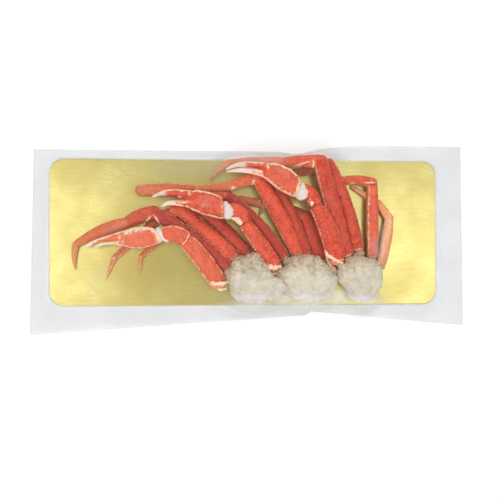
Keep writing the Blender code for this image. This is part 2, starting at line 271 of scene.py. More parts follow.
# Cream bands and corners of the claw arms, in the same way: at the elbow, and at the base
# a wide band and the rim beyond it.
BANDS = {
    "left_arm": (
        (
            (-59.3, -3.3, -60.7, -2.6, 26.5), (-61.9, -7.9, -63.1, -7.3, 26.5),
            (-64.8, -13.2, -66, -12.6, 25),
        ),
        (
            (-65.4, -8.3, -69, -8.9, 25.5), (-63.9, -11.1, -67.4, -11.9, 25),
            (-63.2, -14.2, -65.2, -15, 23.5),
        ),
        (
            (-41.4, -47.6, -40.1, -50.9, 17.5), (-36.4, -50, -35.6, -54.5, 21.3),
            (-30.5, -51, -30.5, -55.5, 22.6), (-24.1, -50.6, -23.8, -54.6, 21.3),
            (-18.4, -48.9, -18.4, -51.7, 17.5),
        ),
        (
            (-34.9, -55, -34.1, -56.8, 15.5), (-30.3, -57.1, -30.8, -60, 18),
            (-26.2, -58, -25.7, -60.6, 18), (-21.7, -56.6, -20.6, -58.6, 15.5),
        ),
    ),
    "middle_arm": (
        (
            (-17.9, 15.3, -17.1, 12.2, 27.5), (-12.8, 14.9, -12.3, 10.2, 28),
            (-8.4, 14.5, -9.2, 6.7, 27.6), (-4, 12.6, -6.4, 5.5, 26),
        ),
        (
            (14, -27.6, 15.1, -31.6, 19), (18, -31.5, 18.9, -38.9, 22.5), (23.5, -33.8, 23.5, -39.4, 24),
            (29.2, -34.2, 29.2, -38.1, 22.8), (35.2, -33.5, 36.2, -37.8, 19),
        ),
        (
            (22.4, -39.4, 22.9, -41.5, 18.5), (26.4, -42, 26.4, -44.5, 19), (31.6, -41.5, 32.2, -44, 19),
            (36.4, -38.4, 38, -40.4, 18.5),
        ),
    ),
    "right_arm": (
        ((63.3, 35.4, 60.7, 32.6, 30), (66.6, 33.1, 62.5, 29, 30.4), (68.4, 29.6, 64.6, 24.6, 29.5)),
        (
            (82.7, -16.8, 79.3, -18.4, 22), (84, -22, 80.2, -25.5, 25), (87.6, -25.6, 86, -28.5, 27.3),
            (93.3, -29.1, 92.2, -31.8, 26.6), (99.5, -31.2, 98.8, -33.1, 23),
        ),
        (
            (82.3, -24.6, 80.7, -25.8, 20), (84.7, -30.3, 82.5, -31.6, 20.5),
            (88, -35.9, 85.6, -37.4, 20.5), (93.1, -40.9, 91.4, -43, 19.5),
        ),
    ),
}

# Ridges of brown crumbs beside the shoulders: both ends and the height of the middle.
CRUMBS = {
    "left": (
        (29, -39, 40, -62, 13), (31, -41, 38, -55, 15), (-21, -37, -17, -53, 14), (3, -22, 17, -28, 14),
    ),
    "middle": ((81, -27, 93, -52, 11), (85, -33, 92, -47, 13), (95, -31, 101, -43, 14)),
    "right": (),
}

# Oval marks, seen from above, by the piece that they are on: milky on the film, cream on a shell,
# or painted shade on a shell where it lies in a gap between shells. Each row is x, y, half length,
# half width, turn in degrees and amount.
SPOTS = {
    ("film", "frost"): (
        (8, 74, 30.7, 5.1, 0, 0.2), (-133.5, 5, 15.5, 4.1, 28, 0.11), (-100, 44, 14.5, 7.2, 0, 0.06),
        (37, -70, 14, 7, 0, 0.46), (90, -68, 16, 9, 0, 0.5), (132, -71, 18, 5, 0, 0.42),
        (5, -74, 28, 5, 0, 0.4), (8, -68, 27, 5, 0, 0.34), (62, -68, 27, 5, 0, 0.44),
        (119, -69, 20, 5, 0, 0.36), (135, -19, 8, 14, 0, 0.17), (-50, 68, 45, 12, 0, 0.13),
        # The frost spot at x -115 is a painted reflection of the film on the left palm.
        (62, -74, 30, 6, 0, 0.4), (-115, -0.5, 12.1, 4, 8, 0.1), (-43, 29.5, 11.1, 6, -15, 0.08),
        (35, 60.5, 12.1, 5, -30, 0.05), (-186, -13, 10.4, 31.3, 0, 0.04),
        (-155.5, -51, 6.3, 25.1, -25, 0.08), (143, -8, 3.1, 22.8, 6, 0.16), (101, -67, 9.4, 9.4, 0, 0.35),
        (34, -66.5, 9.4, 8.3, 0, 0.3),
    ),
    ("left_leg_1", "cream"): (
        (-102.5, 12, 8.2, 1.3, 46, 0.85), (-92, 11.5, 8.2, 1.3, -58, 0.8),
    ),
    ("left_leg_1", "painted_shade"): ((-99, 9, 4.6, 3.6, 0, 0.9),),
    ("left_leg_2", "cream"): (
        (-137, -26.5, 2.3, 1.5, 40, 0.6), (-78.5, 21, 2.1, 8.3, -38, 0.35),
    ),
    ("left_leg_3", "cream"): ((-109.5, -25, 2.3, 1.2, 0, 0.6),),
    ("middle_leg_2", "cream"): (
        (-14.5, 44.5, 3.3, 3.1, 20, 0.8), (5.5, 50.5, 1.6, 4.6, -15, 0.8),
    ),
    ("middle_leg_4", "cream"): ((13, 33.5, 2.1, 3.6, 0, 0.5),),
    ("right_leg_1", "cream"): (
        (55.5, 70, 12.8, 1, 17, 0.9), (67, 67, 1.4, 8.2, -6, 0.9),
    ),
    ("right_leg_3", "cream"): (
        (129.5, 52, 6.2, 0.9, 0, 0.9), (111.5, 51, 3.1, 1.3, -25, 0.8),
    ),
    ("right_leg_3", "painted_shade"): ((131, 50, 6.2, 1.2, 0, 0.5),),
    ("right_leg_4", "cream"): (
        (142, -22, 26, 4, 79, 0.5), (148, 2, 30, 5, 79, 0.5),
    ),
    ("left_claw_palm", "cream"): (
        # The first spot is a painted reflection of the film on the palm.
        (-121, -1.5, 5.1, 3.1, 10, 0.45), (-109.5, 1.5, 9.2, 2, 0, 0.35),
        (-127.5, -8.5, 3.1, 5.1, 10, 0.5),
    ),
    ("left_claw_thumb", "cream"): ((-130, -5.5, 1.8, 3.4, 10, 0.6),),
    ("middle_claw_thumb", "cream"): (
        (-60, 38.5, 1.8, 3.2, 0, 0.6), (-70, 35, 2.2, 1.4, 0, 0.6),
    ),
    ("middle_claw_thumb", "painted_shade"): ((-77, 35, 14.2, 2.2, -3, 1.0),),
    ("middle_claw_palm", "cream"): (
        (-65, 30, 7.1, 2.2, 0, 0.75), (-45, 27, 6.1, 3, -20, 0.25),
    ),
    ("right_claw_thumb", "cream"): ((19.5, 66, 1.8, 3.6, 8, 0.6),),
    ("right_claw_palm", "cream"): ((9.5, 62, 6.1, 2.6, -15, 0.9),),
    ("right_claw_thumb", "painted_shade"): ((8, 65, 9.1, 1.2, -6, 0.7),),
}

# How each segment departs from the plain shell colour: below 0 darker, above 0 paler. The darker
# values are partly the shell's own deeper red and partly painted shade on legs that lie low between
# others.
TONES = {
    "left_leg_3": (-0.35, -0.2, 0.0, 0.3),
    "left_leg_2": (0.05, 0.0, 0.0, 0.2),
    "left_leg_1": (-0.5, -0.2, 0.05, 0.3),
    "middle_leg_4": (-0.28, -0.4, -0.4),
    "middle_leg_3": (-0.3, -0.3, -0.3),
    "middle_leg_2": (0.02, 0.1, 0.12),
    "middle_leg_1": (-0.55, 0.1, 0.0),
    "right_leg_4": (0.72, 0.8, 0.5),
    "right_leg_3": (0.14, 0.0, 0.0),
    "right_leg_2": (-0.22, -0.5, -0.4),
    "right_leg_1": (-0.26, 0.0, 0.2, 0.3),
}
# How cream the left and right edges of some legs are, seen from the shoulder.
LEG_KEELS = {
    "right_leg_1": (0.55, 0.4),
    "right_leg_3": (0.5, 0.4),
    "middle_leg_2": (0.5, 0.4),
    "left_leg_1": (0.4, 0.6),
}
# How far in from the left edge of some legs' first segment that cream line lies, and from
# which share of the length on it shows. Beyond the line the leg's side gets painted shade,
# browner and darker.
LEG_KEEL_INSETS = {"right_leg_1": (1.6, 0.4), "right_leg_3": (1.9, 0.0)}
# How brown and thin-shelled each segment of a leg is.
BROWNS = (0.0, 0.15, 0.4, 0.9)
LEG_BROWNS = {"right_leg_4": (0.55, 0.5, 0.5)}

# Heights of limbs as shares of their widths.
LEG_DEPTH = 0.76
ARM_DEPTH = 0.8

# Points around each kind of tube, and mm between its rows.
AROUND_LEG = 40
AROUND_ARM = 56
AROUND_MEMBRANE = 36
AROUND_BAND = 30
AROUND_ROOT = 44
ROW_STEP = 0.9
STRUNG_STEP = 0.55
ROOT_STEP = 0.4

ROUNDNESS = 2.3  # of the ends of shells and ovals, where 2 is an ellipse
UNDERSIDE = -math.pi / 2.0  # the angle at which a tube's rings start
ROW_PACKING = 0.75  # how much closer a shell's rows are at its ends, up to 1
LEG_OVERLAP = 0.42  # how far a leg's shells reach past their joints, as a share of the width
TAPERED_WIDTH = 2.0  # a leg's segment that ends narrower than this is drawn out to a tip
EDGE_EASING = 9  # times that a traced edge is eased

# The rings beside a shell's joints: how far from each end, and how wide.
RING_FROM_START = 2.6
RING_FROM_END = 2.2
RING_WIDTH = 0.9

# The crests of a shell: degrees above its edges, how many degrees wide, and a claw's beads.
CREST_ANGLE = 20.0
CREST_WIDTH = 8.0
CLAW_BEAD = 2.1

# The cream cuff at a claw's wrist fades out between these, and its white tip sets in over this.
CLAW_CUFF = (1.0, 8.0)
CLAW_TIP_FADE = 5.0

# A leg's root: how far behind and below the leg's start its middle lies, and its length.
ROOT_BACK = 2.0
ROOT_DROP = 1.5
ROOT_LENGTH = 9.0
ROOT_STAIN = 0.35
CRUMB_WIDTH = 9.0
CRUMB_STAIN = 0.12

# The first seed of each kind of piece.
SEEDS = {
    "shoulders": 40, "legs": 100, "arms": 600, "claws": 800, "roots": 1000, "wrists": 2000, "crumbs": 2100,
}


# Surfaces.


def smooth_step(low, high, value):
    """0 below low, 1 above high, and a smooth rise between."""
    share = np.clip((value - low) / (high - low), 0.0, 1.0)
    return share * share * (3.0 - 2.0 * share)


def bulge(height, share):
    """A parabola over a length: 0 at both ends and height at its middle."""
    return 4.0 * height * share * (1.0 - share)


def bell(value, width):
    """1 where value is 0, falling away to both sides over width."""
    return np.exp(-((value / width) ** 2))


def toward(heading):
    """The level direction at a heading in degrees."""
    angle = math.radians(heading)
    return np.array([math.cos(angle), math.sin(angle), 0.0])


def from_card(x, y, z=0.0):
    """A point given from the card's centre, in the model's frame."""
    return np.array([x + CARD_CENTRE[0], y + CARD_CENTRE[1], z])


def around_angles(count, start=0.0):
    """Equal steps around a ring."""
    return start + 2.0 * math.pi * np.arange(count) / count


def ripples(points, size, seed):
    """Soft noise of about -1 to 1: the mean of twelve sine waves of wavelength near size."""
    waves = 12
    random = np.random.default_rng(seed)
    ways = random.normal(size=(waves, 3))
    ways /= np.linalg.norm(ways, axis=1, keepdims=True)
    lengths = size * random.uniform(0.7, 1.5, waves)
    shifts = random.uniform(0.0, 2.0 * math.pi, waves)
    heights = np.sin(points @ (ways * (2.0 * math.pi / lengths)[:, None]).T + shifts)
    return heights.sum(axis=-1) / 4.0


class Skin(NamedTuple):
    """A closed surface: its points, arrays of faces, arrays of the place of each face's corners
    on it, which may be none, and named marks with a value at each point."""

    points: np.ndarray
    faces: list
    uv: list
    attributes: dict


def add_piece(name, skin, material, smooth=True):
    """Makes an object of a skin in millimetres."""
    mesh = bpy.data.meshes.new(name)
    corners = np.concatenate([face.ravel() for face in skin.faces]).astype(np.int32)
    sizes = np.concatenate([np.full(len(face), face.shape[1]) for face in skin.faces])
    starts = np.concatenate([[0], np.cumsum(sizes)[:-1]]).astype(np.int32)
    mesh.vertices.add(len(skin.points))
    mesh.vertices.foreach_set("co", (skin.points * MM).astype(np.float32).ravel())
    mesh.loops.add(len(corners))
    mesh.loops.foreach_set("vertex_index", corners)
    mesh.polygons.add(len(starts))
    mesh.polygons.foreach_set("loop_start", starts)
    mesh.update(calc_edges=True)
    for key, values in skin.attributes.items():
        layer = mesh.attributes.new(key, "FLOAT", "POINT")
        layer.data.foreach_set("value", values.astype(np.float32).ravel())
    if skin.uv:
        layer = mesh.uv_layers.new(name="surface")
        layer.data.foreach_set("uv", np.concatenate(skin.uv).astype(np.float32).ravel())
    mesh.polygons.foreach_set("use_smooth", np.full(len(starts), smooth))
    mesh.materials.append(material)
    if mesh.validate():
        raise RuntimeError(f"{name} has faulty faces")
    piece = bpy.data.objects.new(name, mesh)
    bpy.context.scene.collection.objects.link(piece)
    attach(piece, "root")
    return piece


def corner_uv(*corners):
    """The place of every corner of like faces, from the u and v of each of their corners."""
    pairs = [np.stack(np.broadcast_arrays(u, v), -1) for u, v in corners]
    return np.stack(pairs, axis=-2).reshape(-1, 2)


def close_tube(rings, along, attributes):
    """Turns rings of points, rows by around by 3, into a closed skin.

    Quads join each ring to the next, and a fan of triangles closes each end on a point at
    the middle of the end ring. The uv is millimetres along and the share of the way around.
    """
    rows, around = rings.shape[:2]
    here = np.arange(around)
    after = (here + 1) % around
    first = (np.arange(rows - 1) * around)[:, None]
    quads = np.stack(
        [first + here, first + after, first + around + after, first + around + here], axis=-1
    ).reshape(-1, 4)
    start, end, last = rows * around, rows * around + 1, (rows - 1) * around
    start_fan = np.stack([np.full(around, start), after, here], axis=-1)
    end_fan = np.stack([np.full(around, end), last + here, last + after], axis=-1)
    points = np.concatenate([rings.reshape(-1, 3), rings[:1].mean(axis=1), rings[-1:].mean(axis=1)])
    v = here / around
    v_next, v_middle = v + 1.0 / around, v + 0.5 / around
    u, u_next = along[:-1, None], along[1:, None]
    uv = [
        corner_uv((u, v), (u, v_next), (u_next, v_next), (u_next, v)),
        corner_uv((along[0], v_middle), (along[0], v_next), (along[0], v)),
        corner_uv((along[-1], v_middle), (along[-1], v), (along[-1], v_next)),
    ]
    extended = {}
    for key, value in attributes.items():
        value = np.broadcast_to(value, (rows, around))
        extended[key] = np.concatenate([value.ravel(), [value[0].mean(), value[-1].mean()]])
    fans = np.concatenate([start_fan, end_fan])
    return Skin(points, [quads, fans], [uv[0], np.concatenate(uv[1:])], extended)


def join_skins(skins):
    """Several skins as one, each keeping its own points."""
    offsets = np.cumsum([0] + [len(skin.points) for skin in skins])
    faces = [
        np.concatenate([skin.faces[kind] + at for skin, at in zip(skins, offsets)]) for kind in (0, 1)
    ]
    uv = [np.concatenate([skin.uv[kind] for skin in skins]) for kind in (0, 1)]
    attributes = {
        key: np.concatenate([skin.attributes[key] for skin in skins]) for key in skins[0].attributes
    }
    return Skin(np.concatenate([skin.points for skin in skins]), faces, uv, attributes)


def oval(angles, squareness):
    """A superellipse of half sizes 1: the powers of cosine and sine that bulge it outwards."""
    power = 2.0 / squareness
    return [np.sign(side) * np.abs(side) ** power for side in (np.cos(angles), np.sin(angles))]


class Tube:
    """An oval profile along a path: places points on it, rows by around.

    side and above are the directions of each oval's width and height, half and tall are its
    half sizes along them, and along is how far down the path it is.
    """

    def __init__(self, along, centres, side, above, half, tall, around, squareness):
        self.along, self.half, self.tall = along, half, tall
        self.centres, self.side, self.above = centres[:, None], side[:, None], above[:, None]
        self.angles = around_angles(around, UNDERSIDE)
        self.across, self.up = oval(self.angles, squareness)

    def place(self, relief=0.0):
        """The points of every oval, pushed outwards by relief."""
        x = self.half[:, None] * self.across + relief * np.cos(self.angles)
        z = self.tall[:, None] * self.up + relief * np.sin(self.angles)
        return self.centres + x[..., None] * self.side + z[..., None] * self.above

    def ruffle(self, noises, relief=0.0):
        """The same with soft noise on the relief: each noise is a height a row, a size, a seed."""
        points = self.place(relief)
        swell = sum(height[:, None] * ripples(points, size, seed) for height, size, seed in noises)
        return self.place(relief + swell)


def carry(along, centres, half, tall, around, squareness):
    """A tube with its ovals square to its path and their sides level."""
    way = np.gradient(centres, axis=0)
    way /= np.linalg.norm(way, axis=1, keepdims=True)
    side = np.cross([0.0, 0.0, 1.0], way)
    side /= np.linalg.norm(side, axis=1, keepdims=True)
    return Tube(along, centres, side, np.cross(way, side), half, tall, around, squareness)


def placed_segments(limb):
    """Each segment of a limb with the point that it starts from and its width there."""
    at = from_card(*limb.start)
    width = limb.width
    placed = []
    for row in limb.segments:
        segment = Segment(*row)
        placed.append((segment, at, width))
        at = at + toward(segment.heading) * segment.length + [0.0, 0.0, segment.height - at[2]]
        width = segment.width
    return placed


def centreline(start, segment, share):
    """The segment's path: a straight line pushed sideways by a parabola of height bow."""
    ahead = toward(segment.heading)
    aside = np.array([-ahead[1], ahead[0], 0.0])
    rise = (segment.height - start[2]) * np.clip(share, 0.0, 1.0)
    run = ahead * (segment.length * share)[:, None]
    return start + run + aside * bulge(segment.bow, share)[:, None] + rise[:, None] * [0, 0, 1]


class Shell(NamedTuple):
    """What sets one segment's shell apart from its neighbours."""

    start_gap: float = 0.3  # how far the shell stops short of the joint at each end
    end_gap: float = 0.3
    start_round: float = 0.34  # length of each end's rounding, as a share of the width there
    end_round: float = 0.34
    squareness: float = 2.4
    around: int = AROUND_LEG
    crest: float = 0.0  # height of the crests along both edges
    bead: float = 2.2  # spacing of the beads on the crests
    collar: float = 0.3  # height of the rings next to the joints
    keels: tuple = (0.45, 0.45)  # how cream the left edge and the right edge are
    keel_widths: tuple = (0.8, 0.8)
    keel_inset: tuple = (0.0, 0.0)  # how far in the left cream line lies, and where it begins
    cuff: float = 0.0  # how cream the start is, and how far in
    cuff_width: float = 3.0
    brown: float = 0.0
    tone: float = 0.0


def round_off(away, reach):
    """1 along a tube, and a superellipse that falls to 0 over reach at its end."""
    fall = 1.0 - np.clip((away + 0.02 * reach) / reach, 0.0, 1.0)
    return np.maximum(1.0 - fall**ROUNDNESS, 0.0) ** (1.0 / ROUNDNESS)


def edge_cream(tube, keels, widths, noise, inset=0.0, beads=1.0):
    """How cream a shell is: a ragged band of its own width at each edge, and the underside."""
    cream = 0.7 * smooth_step(0.1, 0.7, -tube.up)
    away_left = np.abs(tube.half[:, None] * (1.0 - tube.across) - inset)
    away_right = tube.half[:, None] * (1.0 + tube.across)
    for away, keel, width in zip((away_left, away_right), keels, widths):
        ragged = width * (1.0 + 0.4 * noise)
        band = 1.0 - smooth_step(0.35 * ragged, 1.5 * ragged, away)
        cream = np.maximum(cream, keel * band * beads)
    return cream


def bead_row(along, bead):
    """A row of beads along a crest, 0.45 between them and 1 on each, as a column."""
    return 0.45 + 0.55 * np.abs(np.sin(math.pi * along / bead))[:, None] ** 0.7


def edge_crest(tube, bead, middle):
    """The relief of beaded crests a little above both edges, absent at the ends."""
    turn = np.degrees(tube.angles)
    edge = np.minimum(np.abs(turn - CREST_ANGLE), np.abs(turn - (180.0 - CREST_ANGLE)))
    return bell(edge, CREST_WIDTH) * bead_row(tube.along, bead) * middle[:, None]


def spot_cover(on, kind, x, y):
    """How much the listed spots cover each point: an oval bell around each."""
    cover = np.zeros_like(x)
    for *centre, half_length, half_width, degrees, amount in SPOTS.get((on, kind), ()):
        turn = math.radians(degrees)
        dx = x - CARD_CENTRE[0] - centre[0]
        dy = y - CARD_CENTRE[1] - centre[1]
        u = (dx * math.cos(turn) + dy * math.sin(turn)) / half_length
        v = (dy * math.cos(turn) - dx * math.sin(turn)) / half_width
        cover = np.maximum(cover, amount * np.exp(-((u**2 + v**2) ** 1.5)))
    return cover


def shell_look(name, points, up, cream, tip, brown, tone):
    """The marks that the shell's material reads, with the listed spots laid on from above: cream spots,
    and spots of painted shade where a shell lies in a gap.
    """
    above = smooth_step(-0.3, 0.1, up)
    x, y = points[..., 0], points[..., 1]
    # Painted shade: these spots darken the shell where it lies in shadow between shells.
    painted_shade = spot_cover(name, "painted_shade", x, y) * above
    return {
        "cream": np.maximum(cream * (1.0 - painted_shade), spot_cover(name, "cream", x, y) * above),
        "tip": tip,
        "brown": brown,
        "tone": tone - painted_shade * (1.0 + tone),
    }


def shell_skin(name, start, start_width, segment, depth, shell, seed):
    """One segment as a closed shell.

    Rows are packed towards the ends by a sine. The width runs straight from one end to the
    other plus a parabola, and a superellipse rounds it off at both ends. Rings beside the
    joints, crests of beads along both edges and soft ripples stand on it as relief.
    """
    length = segment.length
    even = np.linspace(0.0, 1.0, max(18, int(length / ROW_STEP)))
    even = even - ROW_PACKING * np.sin(2.0 * math.pi * even) / (2.0 * math.pi)
    low, high = shell.start_gap / length, 1.0 - shell.end_gap / length
    share = low + (high - low) * even
    centres = centreline(start, segment, share)
    inside = np.clip(share, 0.0, 1.0)
    widths = start_width + (segment.width - start_width) * inside + bulge(segment.belly, inside)
    from_start, from_end = (share - low) * length, (high - share) * length
    ends = round_off(from_start, max(shell.start_round * widths[0], 0.8))
    ends = ends * round_off(from_end, max(shell.end_round * widths[-1], 0.8))
    half = widths / 2.0 * ends
    tube = carry(share * length, centres, half, half * depth, shell.around, shell.squareness)
    rings = bell(from_start - RING_FROM_START, RING_WIDTH) + bell(from_end - RING_FROM_END, RING_WIDTH)
    middle = smooth_step(0.0, 0.2 * length, np.minimum(from_start, from_end) + 0.05 * length)
    relief = (shell.collar * rings * ends)[:, None]
    relief = relief + shell.crest * edge_crest(tube, shell.bead, middle * ends)
    noise = ripples(tube.place(relief), 4.0, seed + 3)
    points = tube.ruffle(((0.03 * half, 14.0, seed), (0.13 * ends, 4.5, seed + 50)), relief)
    inset, begin = shell.keel_inset
    beads = bead_row(tube.along, shell.bead) if shell.crest else 1.0
    if inset:
        beads = smooth_step(begin - 0.1, begin + 0.1, share)[:, None]
    cream = edge_cream(tube, shell.keels, shell.keel_widths, noise, inset, beads)
    cuff_end = shell.cuff_width * (1.0 + 0.25 * noise)
    cuff = shell.cuff * (1.0 - smooth_step(0.6 * cuff_end, 1.3 * cuff_end, from_start[:, None]))
    cream = np.maximum(cream, np.maximum(0.5 * shell.collar * rings[:, None], cuff))
    # Painted shade: beyond the inset cream line, the side of the leg that is turned from the light is made
    # browner and darker.
    beyond = smooth_step(0.3, 1.2, inset - half[:, None] * (1.0 - tube.across))
    brown = np.maximum(shell.brown * (0.55 + 0.45 * even)[:, None], 0.4 * beyond)
    look = shell_look(name, points, tube.up, cream, 0.0, brown, shell.tone - 0.5 * beyond)
    return close_tube(points, tube.along, look)


def leg_skins(name, limb, seed):
    """A walking leg: long first segment, short second, then thinner and browner ones."""
    skins = []
    for i, (segment, start, width) in enumerate(placed_segments(limb)):
        tapering = segment.width < TAPERED_WIDTH
        shell = Shell(
            start_gap=-LEG_OVERLAP * width,
            end_gap=-0.2 if tapering else -LEG_OVERLAP * segment.width,
            start_round=0.5,
            end_round=3.0 if tapering else 0.5,
            collar=0.0,
            keels=LEG_KEELS.get(name, (0.42, 0.42)),
            keel_widths=(0.9, 0.9) if name in LEG_KEELS else (1.5, 1.5),
            cuff_width=1.9,
            tone=TONES[name][i],
            brown=LEG_BROWNS.get(name, BROWNS)[i],
        )
        if i == 0:
            inset = LEG_KEEL_INSETS.get(name, (0.0, 0.0))
            shell = shell._replace(start_gap=2.0, start_round=0.3, collar=0.3, keel_inset=inset, cuff=0.75)
        skins.append(shell_skin(name, start, width, segment, LEG_DEPTH, shell, seed + 7 * i))
    return skins


ARM_SHELLS = (
    Shell(
        start_gap=0.8, end_gap=0.0, start_round=0.4, end_round=0.2, around=AROUND_ARM,
        collar=0.0, keels=(0.3, 0.3), cuff=0.6, cuff_width=1.5, tone=0.6,
    ),
    Shell(
        start_gap=-5.0, end_gap=-0.6, start_round=0.45, end_round=0.18, squareness=2.6,
        around=AROUND_ARM, crest=0.8, bead=3.4, keel_widths=(1.1, 1.0),
        collar=0.15, cuff=0.8, cuff_width=2.0,
    ),
    Shell(
        start_gap=-0.4, end_gap=-0.4, start_round=0.16, end_round=0.22, squareness=2.7,
        around=AROUND_ARM, crest=0.35, bead=2.8, keel_widths=(0.7, 1.3),
    ),
)

# The tone and the cream of both edges, for the long segment and the elbow piece of each arm.
ARM_LOOKS = {
    "left_arm": ((0.18, (0.8, 0.9)), (0.15, (0.5, 0.9))),
    "middle_arm": ((0.05, (0.6, 0.45)), (0.05, (0.4, 0.25))),
    "right_arm": ((-0.04, (0.6, 0.55)), (-0.02, (0.3, 0.2))),
}


def arm_skins(name, limb, seed):
    """A claw arm up to its palm: a short base, a long spiny segment, the elbow piece, bands."""
    looks = ((ARM_SHELLS[0].tone, ARM_SHELLS[0].keels), *ARM_LOOKS[name])
    skins = []
    for i, (segment, start, width) in enumerate(placed_segments(limb)):
        tone, keels = looks[i]
        shell = ARM_SHELLS[i]._replace(tone=tone, keels=keels)
        skins.append(shell_skin(name, start, width, segment, ARM_DEPTH, shell, seed + 7 * i))
    return skins + [band_skin(stations, seed + 30 + i) for i, stations in enumerate(BANDS[name])]


def ease(values):
    """Rounds the corners of a sampled line: each inner value drifts to its neighbours' mean."""
    values = values.copy()
    for _ in range(EDGE_EASING):
        values[1:-1] = 0.25 * values[:-2] + 0.5 * values[1:-1] + 0.25 * values[2:]
    return values


def string_ovals(stations, depth_share, depth, around, squareness, rounds):
    """A tube of upright ovals between two edges, each as wide as they stand apart there.

    The edges run straight from station to station and are then eased at the corners. Half
    an oval's height is depth_share of its half width plus depth, and a superellipse
    rounds each end off over the listed share of the width there.
    """
    table = np.array(stations, dtype=float)
    middle = (table[:, 0:2] + table[:, 2:4]) / 2.0
    at = np.concatenate([[0.0], np.cumsum(np.linalg.norm(np.diff(middle, axis=0), axis=1))])
    rows = max(22, round(at[-1] / STRUNG_STEP))
    along = np.linspace(0.0, at[-1], rows)
    columns = [ease(np.interp(along, at, column)) for column in table.T]
    x_left, y_left, x_right, y_right, height = columns
    centres = np.stack([(x_left + x_right) / 2, (y_left + y_right) / 2, height], -1) + from_card(0, 0)
    side = np.stack([x_left - x_right, y_left - y_right, np.zeros(rows)], -1) / 2.0
    half = np.linalg.norm(side, axis=1)
    side = side / half[:, None]
    ends = round_off(along, rounds[0] * 2.0 * half[0])
    ends = ends * round_off(at[-1] - along, rounds[1] * 2.0 * half[-1])
    tall = (depth_share * half + depth) * ends
    return Tube(along, centres, side, np.array([[0.0, 0.0, 1.0]]), half * ends, tall, around, squareness)


class Claw(NamedTuple):
    """How a palm or a thumb looks: cream edges, from where and how much its tip whitens, crests."""

    keels: tuple
    keel_widths: tuple
    white_from: float
    white: float
    tone: float
    crest: float = 0.0
    cuff: float = 0.0


CLAW_LOOKS = {
    "left_claw_palm": Claw((0.8, 1.0), (1.2, 4.0), 56.0, 1.0, 0.28, 0.5, 1.0),
    "left_claw_thumb": Claw((0.2, 1.0), (0.8, 1.9), 32.0, 1.0, 0.28),
    "middle_claw_palm": Claw((0.9, 1.0), (1.4, 2.0), 49.0, 0.84, 0.04, 0.6, 0.5),
    "middle_claw_thumb": Claw((0.0, 1.0), (0.8, 1.5), 25.0, 0.68, 0.08),
    "right_claw_palm": Claw((0.8, 1.0), (2.1, 2.3), 50.0, 0.76, 0.12, 0.7, 0.9),
    "right_claw_thumb": Claw((0.0, 1.0), (0.8, 1.4), 23.0, 0.72, 0.12),
}


def claw_skin(name, seed):
    """A palm with its fixed finger, or a thumb, as ovals strung between its two edges."""
    claw = CLAW_LOOKS[name]
    tube = string_ovals(CLAWS[name], ARM_DEPTH, 0.0, AROUND_ARM, 2.4, (0.16, 1.0))
    relief = smooth_step(1.0, 7.0, np.minimum(tube.along, tube.half * 2.0))
    relief = claw.crest * edge_crest(tube, CLAW_BEAD, relief)
    fine = 0.1 * smooth_step(0.5, 3.0, tube.half)
    points = tube.ruffle(((0.02 * tube.half, 11.0, seed), (fine, 4.0, seed + 5)), relief)
    noise = ripples(points, 4.5, seed + 3)
    cream = edge_cream(tube, claw.keels, claw.keel_widths, noise)
    cuff = claw.cuff * (1.0 - smooth_step(*CLAW_CUFF, tube.along[:, None] + 0.7 * noise))
    white_at = claw.white_from + CLAW_TIP_FADE
    tip = claw.white * smooth_step(claw.white_from, white_at, tube.along)[:, None]
    look = shell_look(name, points, tube.up, np.maximum(cream, cuff), tip, 0.0, claw.tone)
    return close_tube(points, tube.along, look)


def membrane_skin(stations, seed):
    """The membrane at a wrist: ovals strung between its edges, softly folded."""
    tube = string_ovals(stations, 0.2, 1.6, AROUND_MEMBRANE, 2.6, (0.3, 0.3))
    thick = np.minimum(tube.half, 3.0)
    points = tube.ruffle(((0.16 * thick, 5.0, seed), (0.09 * thick, 2.2, seed + 1)))
    stain = 0.15 * smooth_step(0.3, 0.9, ripples(points, 4.0, seed + 2))
    return close_tube(points, tube.along, {"white": 1.0, "flesh": 1.0, "stain": stain, "pale": 0.0})


def band_skin(stations, seed):
    """A cream band or corner of a claw arm: ovals strung between its edges, uneven."""
    tube = string_ovals(stations, 0.35, 1.3, AROUND_BAND, 2.3, (0.5, 0.5))
    thick = np.minimum(tube.half, 2.5)
    points = tube.ruffle(((0.26 * thick, 4.0, seed), (0.16 * thick, 1.9, seed + 1)))
    cream = 0.9 + 0.2 * ripples(points, 3.5, seed + 2)
    return close_tube(points, tube.along, {"cream": cream, "tip": 0.3, "brown": 0.0, "tone": 0.5})


def root_skin(centre, heading, length, width, height, seed, stained=ROOT_STAIN):
    """A root or crumb: a knobby oval carried along a straight line, swelling by a superellipse."""
    share = np.linspace(0.0, 1.0, max(24, int(length / ROOT_STEP)))
    centres = centre + toward(heading) * ((share - 0.5) * length)[:, None]
    swelling = np.maximum(1.0 - np.abs(2.0 * share - 1.0) ** ROUNDNESS, 0.003) ** (1.0 / ROUNDNESS)
    half = width / 2.0 * swelling
    tube = carry(share * length, centres, half, half * height / width, AROUND_ROOT, 2.2)
    points = tube.ruffle(((0.13 * half, 4.5, seed), (0.07 * half, 2.2, seed + 1)))
    stain = stained + 0.5 * smooth_step(-0.2, 0.8, ripples(points, 3.6, seed + 2))
    look = {"white": 0.0, "flesh": 0.6, "stain": stain, "pale": 0.0}
    return close_tube(points, tube.along, look)


def leg_root_skin(limb, seed):
    """The root that joins a leg to its shoulder, lying behind and a little below the leg's start."""
    segment, start, width = placed_segments(limb)[0]
    root = start - toward(segment.heading) * ROOT_BACK - [0.0, 0.0, ROOT_DROP]
    return root_skin(root, segment.heading, ROOT_LENGTH, 0.9 * width, 0.72 * width, seed)


